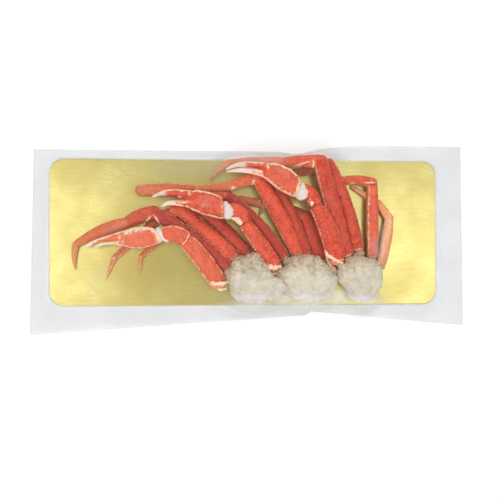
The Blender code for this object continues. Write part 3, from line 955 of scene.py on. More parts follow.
def crumb_skin(ends, seed):
    """A ridge of brown crumbs between two points on the card, standing on the card."""
    x, y, x_end, y_end, height = ends
    run = (x_end - x, y_end - y)
    middle = from_card((x + x_end) / 2, (y + y_end) / 2, height)
    heading = math.degrees(math.atan2(run[1], run[0]))
    tall = 2.0 * (height - CARD_TOP)
    return root_skin(middle, heading, math.hypot(*run), CRUMB_WIDTH, tall, seed, CRUMB_STAIN)


def reach_at(angle, reach):
    """The outline's distance at each angle, eased from one listed distance to the next."""
    steps = np.array(reach, dtype=float)
    place = np.mod(angle / (2.0 * math.pi), 1.0) * len(steps)
    before = np.floor(place).astype(int) % len(steps)
    after = (before + 1) % len(steps)
    share = smooth_step(0.0, 1.0, place - np.floor(place))
    return steps[before] + (steps[after] - steps[before]) * share


def shoulder_skin(shoulder, seed):
    """A shoulder: a flattened dome on its ragged outline, grooved between the lobes.

    Rows run from the middle of its underside out to the outline, and up the dome to the crown.
    The dome's distance out and height are powers of the sine and cosine of the same angle.
    Soft noise lifts it into lumps, and where one noise crosses zero it is creased.
    """
    drop = np.linspace(0.02, math.pi / 2.0, SHOULDER_ROWS_OVER)
    power = 2.0 / SHOULDER_SQUARENESS
    out = np.concatenate([np.sin(drop) ** power, np.linspace(0.96, 0.03, SHOULDER_ROWS_UNDER)])[::-1]
    up = np.concatenate([np.cos(drop) ** power, np.zeros(SHOULDER_ROWS_UNDER)])[::-1, None]
    angles = around_angles(SHOULDER_AROUND)
    centre = from_card(*shoulder.centre)
    ring = np.stack([np.cos(angles), np.sin(angles), np.zeros(SHOULDER_AROUND)], -1)
    rim = ring * SHOULDER_NOISE_RADIUS
    ragged = 0.9 * ripples(rim, 10.0, seed + 7) + 0.6 * ripples(rim, 4.5, seed + 8)
    distance = out[:, None] * (reach_at(angles, shoulder.reach) + ragged)[None, :]
    x = centre[0] + distance * ring[:, 0]
    y = centre[1] + distance * ring[:, 1]
    groove = SHOULDER_GROOVE_DEPTH * (0.5 - 0.5 * np.cos(SHOULDER_LOBES * angles))
    z = CARD_TOP + (shoulder.height - CARD_TOP) * up * (1.0 - groove * out[:, None])
    flat = np.stack([x, y, 0.5 * z], axis=-1)
    towards_limbs = smooth_step(-4.0, 18.0, y - centre[1])
    lumps = 1.4 * ripples(flat, 19.0, seed) + 0.5 * ripples(flat, 8.0, seed + 1)
    lumps = lumps + (0.24 + 0.16 * towards_limbs) * ripples(flat, 3.3, seed + 2)
    fibres = np.stack(np.broadcast_arrays(rim[None, :, 0], rim[None, :, 1], 0.4 * distance), -1)
    threads = ripples(fibres + 0.6 * ripples(flat, 6.0, seed + 11)[..., None], 2.3, seed + 10)
    lumps = lumps + 0.2 * threads
    lumps = lumps + 0.7 * towards_limbs * ripples(flat, 5.0, seed + 6)
    crease = bell(ripples(flat, 15.0, seed + 3), 0.12)
    crease = crease * smooth_step(0.2, 1.0, ripples(flat, 21.0, seed + 4) + 0.5 * towards_limbs)
    z = z + (lumps - 0.6 * crease) * smooth_step(0.0, 0.25, up)
    points = np.stack([x, y, np.maximum(z, CARD_TOP)], axis=-1)
    patches = smooth_step(-0.3, 0.9, ripples(flat, 7.0, seed + 5))
    streaks = smooth_step(-0.2, 0.8, ripples(fibres, 3.6, seed + 9))
    near_limbs = shoulder.brown * smooth_step(3.0, 15.0, y - centre[1])
    # The creases get painted shade: the stain colour and less white. The stain near the limbs and in
    # patches is the meat's own.
    stain = 0.4 * crease + near_limbs * (0.15 + 0.5 * patches + 0.4 * streaks) + 0.1 * patches
    # Painted light: whiter on the side away from the limbs, which lies in shade; the threads' white is the
    # meat's own.
    white = 0.2 + 0.4 * smooth_step(-8.0, -22.0, y - centre[1]) - 0.15 * towards_limbs
    white = np.clip(white + 0.3 * smooth_step(0.1, 1.0, threads), 0.0, 1.0)
    look = {
        "white": white * (1.0 - 0.7 * crease),
        "flesh": 1.0,
        "stain": np.clip(stain, 0.0, 1.0),
        # Painted light: the steep sides are made paler against the shade that falls on them.
        "pale": smooth_step(0.9, 0.45, up) * (1.0 - 0.4 * near_limbs),
    }
    return close_tube(points, np.linspace(0.0, 60.0, len(out)), look)


def card_skin():
    """The card: a rounded rectangle, from the middle of its underside to that of its top.

    Its rings grow to the outline, follow the bevelled edge up and shrink again.
    """
    angles = around_angles(CARD_AROUND)
    outward = np.stack([np.cos(angles), np.sin(angles)], -1)
    half = np.array([CARD_LENGTH, CARD_WIDTH]) / 2 - CARD_CORNER_RADIUS
    rim = np.sign(outward) * half + CARD_CORNER_RADIUS * outward
    rings = [(rim * share, CARD_BOTTOM) for share in CARD_RINGS]
    rings += [(rim - outward * drawn, height) for height, drawn in CARD_EDGE]
    rings += [(rim * share, CARD_TOP) for share in reversed(CARD_RINGS)]
    points = np.stack(
        [np.column_stack([ring + CARD_CENTRE, np.full(CARD_AROUND, height)]) for ring, height in rings]
    )
    cut = np.zeros((len(rings), 1))
    cut[3:8] = 1.0  # the rings that stand at the card's edge
    return close_tube(points, np.linspace(0.0, 1.0, len(rings)), {"cut": cut})._replace(uv=[])


# The bag's outline and film.


def top_edge(x):
    """y of the bag's edge beyond the knees, at x."""
    rise = 0.5 * (1.0 + np.tanh((x - TOP_EDGE_RISE_AT) / TOP_EDGE_RISE_SPREAD))
    notch = TOP_NOTCH_DEPTH * bell(x - TOP_NOTCH_AT, TOP_NOTCH_SPREAD)
    return BAG_WIDTH / 2 + TOP_EDGE_RISE * (rise - 1.0) - notch


def bottom_edge(x):
    """y of the bag's edge beyond the shoulders, at x: it runs in to a notch from both ends."""
    corner = BAG_WIDTH / 2 - BOTTOM_EDGE_AT_NOTCH - BOTTOM_STEP
    left = BOTTOM_STEP + corner * (BOTTOM_NOTCH_AT - x) / (BOTTOM_NOTCH_AT + BAG_LENGTH / 2)
    right = BOTTOM_SLOPE_RIGHT * (x - BOTTOM_NOTCH_AT)
    side = smooth_step(-BOTTOM_STEP_SPREAD, BOTTOM_STEP_SPREAD, x - BOTTOM_NOTCH_AT)
    return -(BOTTOM_EDGE_AT_NOTCH + left * (1.0 - side) + right * side)


def beyond_card(x, y):
    """Distance outside the card's rounded rectangle, negative inside it."""
    dx = np.abs(x - CARD_CENTRE[0]) - (CARD_LENGTH / 2 - CARD_CORNER_RADIUS)
    dy = np.abs(y - CARD_CENTRE[1]) - (CARD_WIDTH / 2 - CARD_CORNER_RADIUS)
    outside = np.hypot(np.maximum(dx, 0.0), np.maximum(dy, 0.0))
    inside = np.minimum(np.maximum(dx, dy), 0.0)
    return outside + inside - CARD_CORNER_RADIUS


def border_lift(x, y):
    """How far the bag's border stands off the table: nothing at the card, most at the corners."""
    out = smooth_step(0.0, BORDER_LIFT_REACH, beyond_card(x, y))
    wave = 0.7 + 0.3 * np.cos(2.0 * math.pi * x / BAG_LENGTH * 3.0)
    return BORDER_LIFT * out * wave


def spread_up(heights):
    """Each point takes the highest value of the nine around it."""
    padded = np.pad(heights, 1, mode="edge")
    columns, rows = heights.shape
    return np.max([padded[i : i + columns, j : j + rows] for i in range(3) for j in range(3)], axis=0)


def contents_top(x, y, pieces):
    """Height of the highest thing under each point of the film's grid.

    Every point of every piece raises the grid point nearest to it. A spread up and then one
    down fills the points that none fell on.
    """
    columns, rows = x.shape
    card = 1.0 - smooth_step(-0.9, 0.9, beyond_card(x, y))
    top = FRONT_OVER_TABLE + (CARD_TOP - FRONT_OVER_TABLE) * card
    for piece in pieces:
        points = np.empty(len(piece.data.vertices) * 3, dtype=np.float32)
        piece.data.vertices.foreach_get("co", points)
        px, py, pz = points.reshape(-1, 3).T / MM
        up = (py - bottom_edge(px)) / (top_edge(px) - bottom_edge(px))
        left = LEFT_SLANT * up - BAG_LENGTH / 2
        share = (px - left) / (BAG_LENGTH / 2 - RIGHT_SLANT * up - left)
        i = np.clip(np.rint(share * (columns - 1)), 0, columns - 1).astype(int)
        j = np.clip(np.rint(up * (rows - 1)), 0, rows - 1).astype(int)
        np.maximum.at(top, (i, j), pz)
    return -spread_up(-spread_up(top))


def film_over(heights, step, radius):
    """A stretched film pressed on heights: each free point sinks below its neighbours' mean.

    Suction bends the free film to radius, so a point lies step squared over four radii under
    that mean, and never lower than what is beneath it. The bag's edge stays put.
    """
    film = heights.copy()
    sink = step**2 / (4.0 * radius)
    for _ in range(FILM_STEPS):
        mean = (film[:-2, 1:-1] + film[2:, 1:-1] + film[1:-1, :-2] + film[1:-1, 2:]) / 4
        film[1:-1, 1:-1] = np.maximum(heights[1:-1, 1:-1], mean - sink)
    return film


def grid_quads(index):
    """The squares between the points of a grid, from the points' numbers."""
    corners = [index[:-1, :-1], index[1:, :-1], index[1:, 1:], index[:-1, 1:]]
    return np.stack(corners, -1).reshape(-1, 4)


def film_skin(pieces, settings):
    """The bag: a front film over its contents and a back film under the card, one envelope.

    Both are the same grid of columns by rows. The front is the stretched film plus small
    crinkles where nothing holds it, and the back follows the border's lift.
    """
    step = settings.film_step
    columns, rows = round(BAG_LENGTH / step) + 1, round(BAG_WIDTH / step) + 1
    share = np.linspace(0.0, 1.0, columns)[:, None]
    across = np.linspace(0.0, 1.0, rows)[None, :]
    along = (share - 0.5) * BAG_LENGTH
    x = along + across * (LEFT_SLANT * (1.0 - share) - RIGHT_SLANT * share)
    y = bottom_edge(along) + (top_edge(along) - bottom_edge(along)) * across
    heights = contents_top(x, y, pieces)
    film = film_over(heights + settings.film_clearance, step, settings.film_radius)
    gap = film - heights - settings.film_clearance
    out = beyond_card(x, y)
    border = smooth_step(-0.5, 1.5, out) * (1.0 - smooth_step(*RAISED_FILM, film) * (y > 0.0))
    lift = border_lift(x, y)
    flat = np.stack([x, y, np.zeros_like(x)], -1)
    crinkle = 0.10 * ripples(flat * [1.0, 0.45, 1.0], 22.0, 3) + 0.03 * ripples(flat, 9.0, 4)
    right = smooth_step(*RIGHT_CRINKLES, x)
    crinkle = crinkle + right * 0.10 * ripples(flat * [1.0, 0.25, 1.0], 7.0, 5)
    front = film + lift + smooth_step(*FREE_BORDER, out) * np.maximum(crinkle + 0.3, -0.2)
    held = np.ones(x.shape, dtype=bool)
    held[1:-1, 1:-1] = False
    lowest = lift + FRONT_ABOVE_BACK
    front = np.where(held, lowest, np.maximum(front, lowest))
    points = np.stack([np.stack([x, y, front], -1), np.stack([x, y, lift], -1)]).reshape(-1, 3)
    count = columns * rows
    index = np.arange(count).reshape(columns, rows)
    upper = grid_quads(index)
    lower = upper[:, [0, 3, 2, 1]] + count
    rim = np.concatenate([index[:, 0], index[-1, 1:], index[-2::-1, -1], index[0, -2:0:-1]])
    rim_after = np.roll(rim, -1)
    wall = np.stack([rim, rim + count, rim_after + count, rim_after], -1)
    nothing = np.zeros_like(x)
    attributes = {
        "air": np.stack([np.clip(gap / AIR_DEPTH, 0.0, 1.0), nothing]),
        "border": np.stack([border, border]),
        "frost": np.stack([spot_cover("film", "frost", x, y), nothing]),
    }
    return Skin(points, [upper, lower, wall], [], attributes)


# Materials.


class Shading:
    """A shader node tree. Its calls add nodes to it and give the socket that they end in."""

    def __init__(self, tree):
        self.tree = tree

    def feed(self, node, inputs):
        """Links each input of a node to a socket, or sets its value."""
        for key, value in inputs.items():
            if isinstance(value, bpy.types.NodeSocket):
                self.tree.links.new(value, node.inputs[key])
            else:
                node.inputs[key].default_value = value

    def add(self, kind, inputs, output=0, **settings):
        """Adds a node, with its properties as settings."""
        node = self.tree.nodes.new(f"ShaderNode{kind}")
        for key, value in settings.items():
            setattr(node, key, value)
        self.feed(node, inputs)
        return node.outputs[output]

    def maths(self, operation, first, second, clamp=False):
        return self.add("Math", {0: first, 1: second}, operation=operation, use_clamp=clamp)

    def times(self, first, second, clamp=False):
        return self.maths("MULTIPLY", first, second, clamp)

    def scale(self, vector, scale):
        return self.add("VectorMath", {0: vector, 1: scale}, operation="MULTIPLY")

    def remap(self, value, low, high, to_low=0.0, to_high=1.0):
        inputs = {0: value, 1: low, 2: high, 3: to_low, 4: to_high}
        return self.add("MapRange", inputs, interpolation_type="SMOOTHSTEP")

    def mix(self, first, *covers, blend="MIX"):
        """Lays colours over the first one, each by its share. A colour is a socket or numbers."""
        for share, colour in covers:
            ends = [end if isinstance(end, bpy.types.NodeSocket) else (*end, 1) for end in (first, colour)]
            inputs = {0: share, 6: ends[0], 7: ends[1]}
            first = self.add("Mix", inputs, 2, data_type="RGBA", blend_type=blend)
        return first

    def mark(self, name):
        """A number that the mesh carries at each point."""
        return self.add("Attribute", {}, "Fac", attribute_name=name)

    def bump(self, height, strength, distance):
        inputs = {"Height": height, "Strength": strength, "Distance": distance}
        return self.add("Bump", inputs, "Normal")

    def patches(self, place, scale, low, high):
        group = bpy.data.node_groups.get("patches") or patches_group()
        inputs = {"Vector": place, "Scale": scale, "Low": low, "High": high}
        return self.add("Group", inputs, "Mask", node_tree=group)

    def grains(self, place, scale, roughness):
        group = bpy.data.node_groups.get("grains") or grains_group()
        inputs = {"Vector": place, "Scale": scale, "Roughness": roughness}
        return self.add("Group", inputs, "Height", node_tree=group)


def new_group(name, numbers, output):
    """A node group with a vector and the given numbers as inputs and one number as output."""
    tree = bpy.data.node_groups.new(name, "ShaderNodeTree")
    tree.interface.new_socket("Vector", in_out="INPUT", socket_type="NodeSocketVector")
    for label, value in numbers.items():
        socket = tree.interface.new_socket(label, in_out="INPUT", socket_type="NodeSocketFloat")
        socket.default_value = value
    tree.interface.new_socket(output, in_out="OUTPUT", socket_type="NodeSocketFloat")
    given = tree.nodes.new("NodeGroupInput").outputs
    return Shading(tree), given, tree.nodes.new("NodeGroupOutput")


def patches_group():
    """Soft-edged patches: fractal noise, cut between two levels."""
    nodes, given, result = new_group("patches", {"Scale": 100.0, "Low": 0.4, "High": 0.6}, "Mask")
    place = {"Vector": given["Vector"], "Scale": given["Scale"]}
    noise = nodes.add("TexNoise", {**place, "Detail": 4.0}, "Fac")
    nodes.feed(result, {"Mask": nodes.remap(noise, given["Low"], given["High"])})
    return nodes.tree


def grains_group():
    """Rounded grains: the distance to scattered points, turned over, roughened by noise."""
    nodes, given, result = new_group("grains", {"Scale": 600.0, "Roughness": 0.4}, "Height")
    place = {"Vector": given["Vector"], "Scale": given["Scale"]}
    away = nodes.add("TexVoronoi", {**place, "Smoothness": 0.6}, "Distance", feature="SMOOTH_F1")
    noise = nodes.add("TexNoise", {**place, "Detail": 5.0}, "Fac")
    rough = nodes.times(noise, given["Roughness"])
    nodes.feed(result, {"Height": nodes.maths("SUBTRACT", rough, away)})
    return nodes.tree


def new_material(name):
    """A material with its nodes, its shader and the place of each point of its object."""
    material = bpy.data.materials.new(name)
    material.use_nodes = True
    nodes = Shading(material.node_tree)
    shader = material.node_tree.nodes["Principled BSDF"]
    return material, nodes, shader, nodes.add("TexCoord", {}, "Object")


def shell_material(colours):
    """Cooked shell: two reds in patches, orange freckles, cream edges, pale tips, fine grain."""
    material, nodes, shader, place = new_material("crab_shell")
    broad = nodes.patches(place, 150.0, 0.36, 0.64)
    fine = nodes.patches(place, 520.0, 0.42, 0.64)
    surface = nodes.add("UVMap", {}, "UV", uv_map="surface")
    # Streaks along the shells: partly the shell's own colour and partly a painted sheen along the legs.
    streaks = nodes.patches(nodes.scale(surface, (0.05, 9.0, 1.0)), 1.0, 0.42, 0.72)
    tone = nodes.mark("tone")
    ragged_cream = nodes.maths("ADD", nodes.mark("cream"), nodes.times(fine, 0.25))
    colour = nodes.mix(
        colours.shell_deep,
        (broad, colours.shell_bright),
        (nodes.times(fine, 0.5), colours.shell_freckle),
        (nodes.times(streaks, 0.35), colours.shell_streak_and_sheen),
        # Below 0 the tone lays on deeper red and painted shade together.
        (nodes.times(tone, -1.0, clamp=True), colours.shell_dark_and_shade),
        (nodes.times(tone, 1.0, clamp=True), colours.shell_pale),
        (nodes.mark("brown"), colours.shell_brown),
        (nodes.remap(ragged_cream, 0.25, 1.05), colours.shell_cream),
        (nodes.mark("tip"), colours.shell_tip),
    )
    nodes.feed(shader, {
        "Base Color": colour,
        "Roughness": nodes.remap(broad, 0.0, 1.0, 0.38, 0.5),
        "Normal": nodes.bump(nodes.grains(place, 780.0, 0.5), 0.35, 0.0005),
        "Specular IOR Level": 0.28,
        "Coat Weight": 0.05,
        "Coat Roughness": 0.25,
    })
    return material


def meat_material(colours):
    """Body meat and membrane: grey-beige in soft patches, whiter or browner by its mark, with painted
    light on the shoulders' steep sides.
    """
    material, nodes, shader, place = new_material("crab_meat")
    broad = nodes.patches(place, 70.0, 0.3, 0.7)
    small = nodes.patches(place, 260.0, 0.35, 0.7)
    meat = nodes.mix(
        colours.meat_grey, (broad, colours.meat_cream), (nodes.times(small, 0.25), colours.meat_brown)
    )
    thin = nodes.mix(colours.joint_brown, (small, colours.joint_pink))
    stain = nodes.times(nodes.mark("stain"), nodes.remap(small, 0.0, 1.0, 0.55, 1.0))
    colour = nodes.mix(
        thin,
        (nodes.mark("flesh"), meat),
        (nodes.mark("white"), colours.membrane_white),
        # Painted light on the shoulders' steep sides.
        (nodes.times(nodes.mark("pale"), 0.75), colours.meat_painted_light),
        (stain, colours.meat_stain_and_shade),
    )
    nodes.feed(shader, {
        "Base Color": colour,
        "Roughness": nodes.remap(small, 0.0, 1.0, 0.36, 0.55),
        "Normal": nodes.bump(nodes.grains(place, 420.0, 0.8), 0.35, 0.0008),
        "Subsurface Weight": 0.15,
        "Subsurface Radius": (0.004, 0.0025, 0.0015),
    })
    return material


def card_material(colours):
    """Gold foil, cloudy, with an oval of deeper gold that is a painted reflection of the red claws, with
    streaks and grain, and the pale cut edge.
    """
    material, nodes, shader, place = new_material("gold_card")
    broad = nodes.patches(place, 22.0, 0.3, 0.7)
    wrinkles = nodes.patches(nodes.scale(place, (0.2, 1.0, 1.0)), 420.0, 0.3, 0.7)
    gold = nodes.mix(colours.gold_deep, (broad, colours.gold_bright))
    gold = nodes.mix(gold, (nodes.times(wrinkles, 0.16), colours.gold_deep), blend="MULTIPLY")
    # Painted reflection: an oval near the left claw where the red claws are mirrored in the foil.
    from_centre = nodes.add("VectorMath", {0: place, 1: (0.118, 0.026, 0.0)}, operation="ADD")
    spread = nodes.scale(from_centre, (14.0, 23.0, 0.0))
    away = nodes.add("VectorMath", {0: spread}, "Value", operation="LENGTH")
    painted_reflection = nodes.times(nodes.remap(away, 1.0, 0.15), 0.85)
    cut = nodes.mark("cut")
    height = nodes.maths("ADD", nodes.grains(place, 480.0, 0.9), nodes.times(wrinkles, 0.5))
    nodes.feed(shader, {
        "Base Color": nodes.mix(gold, (painted_reflection, colours.gold_painted_reflection), (cut, colours.card_cut)),
        "Roughness": nodes.remap(broad, 0.0, 1.0, 0.31, 0.27),
        "Normal": nodes.bump(height, 0.08, 0.0003),
        "Metallic": nodes.maths("SUBTRACT", 1.0, cut, clamp=True),
    })
    return material


def film_material(settings, colours):
    """Clear film: nearly no colour where it lies on something, milkier where it bridges air."""
    material, nodes, shader, place = new_material("clear_film")
    cloudy = nodes.patches(place, 30.0, 0.3, 0.7)
    frost = nodes.mark("frost")
    haze = nodes.remap(nodes.mark("air"), 0.0, 1.0, settings.haze_on_food, settings.haze_over_air)
    haze = nodes.maths("MAXIMUM", haze, nodes.times(nodes.mark("border"), settings.haze_in_border))
    haze = nodes.maths("MAXIMUM", haze, frost)
    alpha = nodes.times(haze, nodes.remap(cloudy, 0.0, 1.0, 0.94, 1.06), clamp=True)
    facing = nodes.add("LayerWeight", {"Blend": 0.25}, "Facing")
    rim = nodes.times(nodes.maths("POWER", facing, 3.0), 0.03)
    tint = nodes.mix(
        colours.film, (cloudy, colours.film_shade), (nodes.remap(frost, 0.1, 0.4), colours.film_frost)
    )
    nodes.feed(shader, {
        "Base Color": tint,
        "Alpha": nodes.maths("ADD", alpha, rim, clamp=True),
        "Roughness": nodes.remap(cloudy, 0.0, 1.0, 0.3, 0.36),
        "Normal": nodes.bump(nodes.grains(place, 90.0, 1.0), 0.04, 0.0006),
        "Metallic": 0.1,
        "Specular IOR Level": 0.35,
        "IOR": 1.35,
    })
    return material


def floor_material(colours):
    """Smooth pale board with the faintest unevenness."""
    material, nodes, shader, place = new_material("pale_floor")
    pale = nodes.mix(colours.floor, (nodes.patches(place, 3.0, 0.2, 0.8), (0.99, 0.99, 0.99)))
    nodes.feed(shader, {"Base Color": pale, "Roughness": 0.9})
    return material


# Settings.


def number_setting(name, description, default, **limits):
    return bpy.props.FloatProperty(name=name, description=description, default=default, **limits)


def cover_setting(name, description, default):
    return number_setting(name, description, default, subtype="FACTOR", min=0, max=1)


def power_setting(name, description, default):
    return number_setting(name, description, default, unit="POWER", min=0)


def colour_setting(name, description, default):
    return bpy.props.FloatVectorProperty(
        name=name, description=description, default=default, subtype="COLOR", size=3, min=0, max=1
    )


class CRABPACK_PG_film(bpy.types.PropertyGroup):
    """How the clear film lies and looks."""

    film_step: number_setting("Grid", "Spacing of the film's points, in mm", 1.5, min=0.5)
    film_clearance: number_setting("Clearance", "Film above what it rests on, in mm", 0.45, min=0.1)
    film_radius: number_setting("Bend", "Radius that suction bends the free film to, in mm", 7.0, min=1)
    haze_on_food: cover_setting("Haze on food", "Cover of film that touches food", 0.015)
    haze_over_air: cover_setting("Haze over air", "Cover of film that bridges a gap", 0.02)
    haze_in_border: cover_setting("Haze in border", "Cover of the bag's border", 0.38)


class CRABPACK_PG_colours(bpy.types.PropertyGroup):
    """The colours of the shells, the meat, the card, the film and the floor."""

    shell_bright: colour_setting("Shell", "Cooked shell where it is brightest", (0.69, 0.054, 0.016))
    shell_deep: colour_setting("Deep shell", "Cooked shell where it is deepest", (0.49, 0.020, 0.007))
    shell_freckle: colour_setting("Freckles", "Small spots on the shell", (0.78, 0.16, 0.055))
    # Partly the shell's own streaks and partly a painted sheen along the legs.
    shell_streak_and_sheen: colour_setting("Streaks", "Pinker streaks along the shell", (0.72, 0.15, 0.09))
    # Partly the shell's own deeper red and partly painted shade, on legs that lie low between others and
    # in the painted-shade spots.
    shell_dark_and_shade: colour_setting("Dark shell", "Shell of the lowest legs", (0.24, 0.020, 0.018))
    shell_pale: colour_setting("Pale shell", "Shell of the palest legs", (0.95, 0.36, 0.18))
    shell_brown: colour_setting("Brown shell", "Thin shell of the last segments", (0.60, 0.30, 0.095))
    shell_cream: colour_setting("Cream edge", "Edges, crests and undersides", (0.92, 0.66, 0.43))
    shell_tip: colour_setting("Claw tip", "Tips of the claws", (0.82, 0.69, 0.59))
    meat_grey: colour_setting("Meat", "Body meat, grey part", (0.51, 0.47, 0.355))
    meat_cream: colour_setting("Pale meat", "Body meat, cream part", (0.69, 0.645, 0.485))
    # Painted light: paler meat laid on the shoulders' steep sides, where shade falls.
    meat_painted_light: colour_setting("Palest meat", "Body meat down its sides", (0.93, 0.89, 0.74))
    meat_brown: colour_setting("Meat spots", "Brown spots in the meat", (0.42, 0.30, 0.19))
    # Real stains near the legs, and painted shade in the shoulders' creases.
    meat_stain_and_shade: colour_setting("Meat stain", "Stains and creases near the legs", (0.42, 0.27, 0.15))
    joint_brown: colour_setting("Joint", "Thin shell at the joints", (0.44, 0.10, 0.04))
    joint_pink: colour_setting("Pale joint", "Pale part of thin shell", (0.68, 0.28, 0.13))
    membrane_white: colour_setting("Membrane", "White membrane at the claws", (0.72, 0.63, 0.585))
    gold_bright: colour_setting("Gold", "Gold foil", (0.70, 0.615, 0.24))
    gold_deep: colour_setting("Deep gold", "Gold foil, duller part", (0.61, 0.515, 0.175))
    # Painted reflection of the red claws in the foil, laid on as an oval near the left claw.
    gold_painted_reflection: colour_setting("Amber gold", "Gold foil with the claws' painted reflection", (0.52, 0.40, 0.12))
    card_cut: colour_setting("Card edge", "Cut edge of the card", (0.66, 0.56, 0.32))
    film: colour_setting("Film", "Clear film", (0.82, 0.825, 0.84))
    film_shade: colour_setting("Film shade", "Clear film, greyer part", (0.79, 0.80, 0.815))
    film_frost: colour_setting("Film frost", "Film where it is milky", (0.96, 0.96, 0.95))
    floor: colour_setting("Floor", "Floor that the pack lies on", (0.96, 0.96, 0.96))


class CRABPACK_PG_stage(bpy.types.PropertyGroup):
    """The lights and the camera."""

    key_power: power_setting("Key light", "Soft light beyond the knees, to the right", 4.8)
    fill_power: power_setting("Fill light", "Soft light on the side of the shoulders", 5.5)
    left_power: power_setting("Left box", "Soft box over the left end", 1.9)
    right_power: power_setting("Right box", "Soft box over the right end", 1.88)
    sky: number_setting("Sky", "Even light from all round", 0.50, min=0)
    camera_place: bpy.props.FloatVectorProperty(
        name="Camera", description="Where the camera hangs", default=(-0.0748, -0.021, 0.8735),
        subtype="TRANSLATION", unit="LENGTH",
    )
    camera_turn: bpy.props.FloatVectorProperty(
        name="Camera turn", description="How the camera is turned from straight down",
        default=(math.radians(0.61), math.radians(-4.84), math.radians(-0.09)),
        subtype="EULER", unit="ROTATION",
    )
    camera_lens: number_setting("Lens", "Focal length on a 36 mm sensor", 60.0, min=1, unit="CAMERA")


# Operators.


def add_shell_piece(name, skins, colours):
    """Adds skins as one piece of cooked shell."""
    material = bpy.data.materials.get("crab_shell") or shell_material(colours)
    piece = add_piece(name, join_skins(skins), material)


def add_meat_piece(name, skins, colours):
    """Adds skins as one piece of body meat or membrane."""
    material = bpy.data.materials.get("crab_meat") or meat_material(colours)
    piece = add_piece(name, join_skins(skins), material)


class CRABPACK_OT_card(bpy.types.Operator):
    """Adds the gold card"""

    bl_idname = "crab_pack.add_card"
    bl_label = "Gold card"

    def execute(self, context):
        material = card_material(context.scene.crab_pack_colours)
        card = add_piece("gold_card", card_skin(), material, smooth=False)
        return {"FINISHED"}


class CRABPACK_OT_shoulders(bpy.types.Operator):
    """Adds the three shoulders of body meat"""

    bl_idname = "crab_pack.add_shoulders"
    bl_label = "Shoulders"

    def execute(self, context):
        for i, (name, shoulder) in enumerate(SHOULDERS.items()):
            skin = shoulder_skin(shoulder, SEEDS["shoulders"] + 10 * i)
            add_meat_piece(f"{name}_shoulder", [skin], context.scene.crab_pack_colours)
        return {"FINISHED"}


class CRABPACK_OT_legs(bpy.types.Operator):
    """Adds the eleven walking legs"""

    bl_idname = "crab_pack.add_legs"
    bl_label = "Walking legs"

    def execute(self, context):
        names = [name for name in LIMBS if "_leg_" in name]
        for i, name in enumerate(names):
            skins = leg_skins(name, LIMBS[name], SEEDS["legs"] + 40 * i)
            add_shell_piece(name, skins, context.scene.crab_pack_colours)
        return {"FINISHED"}


class CRABPACK_OT_arms(bpy.types.Operator):
    """Adds the three claw arms up to their palms"""

    bl_idname = "crab_pack.add_arms"
    bl_label = "Claw arms"

    def execute(self, context):
        names = [name for name in LIMBS if name.endswith("_arm")]
        for i, name in enumerate(names):
            skins = arm_skins(name, LIMBS[name], SEEDS["arms"] + 40 * i)
            add_shell_piece(name, skins, context.scene.crab_pack_colours)
        return {"FINISHED"}


class CRABPACK_OT_claws(bpy.types.Operator):
    """Adds the palm and the thumb of each claw"""

    bl_idname = "crab_pack.add_claws"
    bl_label = "Claws"

    def execute(self, context):
        for i, name in enumerate(CLAWS):
            skin = claw_skin(name, SEEDS["claws"] + 40 * i)
            add_shell_piece(name, [skin], context.scene.crab_pack_colours)
        return {"FINISHED"}


class CRABPACK_OT_joints(bpy.types.Operator):
    """Adds the wrist membranes, the roots of the legs and the crumbs, one piece a cluster"""

    bl_idname = "crab_pack.add_joints"
    bl_label = "Joint membranes"

    def execute(self, context):
        for cluster in SHOULDERS:
            legs = [limb for name, limb in LIMBS.items() if name.startswith(f"{cluster}_leg")]
            skins = [leg_root_skin(limb, SEEDS["roots"] + 9 * i) for i, limb in enumerate(legs)]
            skins.append(membrane_skin(WRISTS[cluster], SEEDS["wrists"]))
            skins += [crumb_skin(ends, SEEDS["crumbs"] + i) for i, ends in enumerate(CRUMBS[cluster])]
            add_meat_piece(f"{cluster}_joints", skins, context.scene.crab_pack_colours)
        return {"FINISHED"}


class CRABPACK_OT_film(bpy.types.Operator):
    """Adds the clear bag over everything that is in it"""

    bl_idname = "crab_pack.add_film"
    bl_label = "Clear film"

    def execute(self, context):
        scene = context.scene
        meshes = [thing for thing in scene.objects if thing.type == "MESH"]
        inside = [thing for thing in meshes if thing.name.startswith(tuple(SHOULDERS))]
        if not inside:
            raise RuntimeError("the film needs the clusters under it")
        settings = scene.crab_pack_film
        material = film_material(settings, scene.crab_pack_colours)
        film = add_piece("film", film_skin(inside, settings), material)
        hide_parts("sealed_bag")
        return {"FINISHED"}


def add_soft_light(name, place, size, power, target=(0.0, 0.0, 0.0)):
    """Adds a soft box at place, in metres, turned to face target."""
    light = bpy.data.lights.new(name, "AREA")
    light.shape = "RECTANGLE"
    light.size, light.size_y = size
    light.energy = power
    lamp = bpy.data.objects.new(name, light)
    lamp.location = place
    x, y, z = np.array(target) - np.array(place)
    lamp.rotation_euler = (math.atan2(math.hypot(x, y), -z), 0.0, math.atan2(y, x) - math.pi / 2.0)
    bpy.context.scene.collection.objects.link(lamp)


def floor_mesh(material):
    """A flat square grid just under the pack."""
    side = np.linspace(-FLOOR_HALF, FLOOR_HALF, FLOOR_POINTS)
    x, y = np.meshgrid(side, side, indexing="ij")
    points = np.stack([x, y, np.full_like(x, -FLOOR_DROP)], -1).reshape(-1, 3)
    faces = grid_quads(np.arange(FLOOR_POINTS**2).reshape(FLOOR_POINTS, FLOOR_POINTS))
    mesh = bpy.data.meshes.new("floor")
    mesh.from_pydata((points * MM).tolist(), [], faces.tolist())
    mesh.materials.append(material)
    return mesh


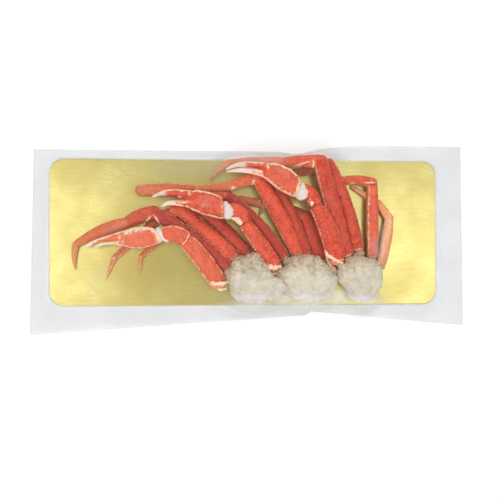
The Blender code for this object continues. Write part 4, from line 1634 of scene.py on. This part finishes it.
class CRABPACK_OT_stage(bpy.types.Operator):
    """Adds the floor, the lights and the camera"""

    bl_idname = "crab_pack.add_stage"
    bl_label = "Stage"

    def execute(self, context):
        scene = context.scene
        stage = scene.crab_pack_stage
        floor = bpy.data.objects.new("floor", floor_mesh(floor_material(scene.crab_pack_colours)))
        scene.collection.objects.link(floor)
        add_soft_light("key", (0.15, 0.85, 0.95), (0.7, 0.6), stage.key_power)
        add_soft_light("fill", (-0.3, -0.8, 0.9), (0.9, 0.7), stage.fill_power)
        add_soft_light("left_box", (-0.61, 0.03, 0.95), (0.38, 0.9), stage.left_power, (-0.15, 0, 0))
        add_soft_light("right_box", (0.6, -0.045, 0.95), (0.44, 0.9), stage.right_power, (0.2, -0.045, 0))
        world = bpy.data.worlds.new("studio")
        world.use_nodes = True
        background = world.node_tree.nodes["Background"]
        background.inputs["Color"].default_value = (1.0, 1.0, 1.0, 1.0)
        background.inputs["Strength"].default_value = stage.sky
        scene.world = world
        scene.view_settings.view_transform = "Standard"
        camera = bpy.data.cameras.new("camera")
        camera.lens = stage.camera_lens
        camera.sensor_width = 36.0
        eye = bpy.data.objects.new("camera", camera)
        eye.location = stage.camera_place
        eye.rotation_euler = stage.camera_turn
        scene.collection.objects.link(eye)
        scene.camera = eye
        return {"FINISHED"}


class CRABPACK_PT_panel(bpy.types.Panel):
    """Lists the pieces of the pack in the order they are made, and the settings"""

    bl_idname = "CRABPACK_PT_panel"
    bl_label = "Snow crab pack"
    bl_space_type = "VIEW_3D"
    bl_region_type = "UI"
    bl_category = "Crab pack"

    def draw(self, context):
        for operator in OPERATORS:
            self.layout.operator(operator.bl_idname)
        for name, group in SETTINGS:
            box = self.layout.box()
            for key in group.__annotations__:
                box.prop(getattr(context.scene, name), key)


OPERATORS = (
    CRABPACK_OT_card,
    CRABPACK_OT_shoulders,
    CRABPACK_OT_legs,
    CRABPACK_OT_arms,
    CRABPACK_OT_claws,
    CRABPACK_OT_joints,
    CRABPACK_OT_film,
    CRABPACK_OT_stage,
)
SETTINGS = (
    ("crab_pack_film", CRABPACK_PG_film),
    ("crab_pack_colours", CRABPACK_PG_colours),
    ("crab_pack_stage", CRABPACK_PG_stage),
)


def register():
    for name, group in SETTINGS:
        bpy.utils.register_class(group)
        setattr(bpy.types.Scene, name, bpy.props.PointerProperty(type=group))
    for operator in OPERATORS:
        bpy.utils.register_class(operator)
    bpy.utils.register_class(CRABPACK_PT_panel)


def unregister():
    bpy.utils.unregister_class(CRABPACK_PT_panel)
    for operator in reversed(OPERATORS):
        bpy.utils.unregister_class(operator)
    for name, group in reversed(SETTINGS):
        delattr(bpy.types.Scene, name)
        bpy.utils.unregister_class(group)


def main():
    register()
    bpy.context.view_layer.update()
    for operator in OPERATORS:
        area, name = operator.bl_idname.split(".")
        getattr(getattr(bpy.ops, area), name)()


if __name__ == "__main__":
    main()
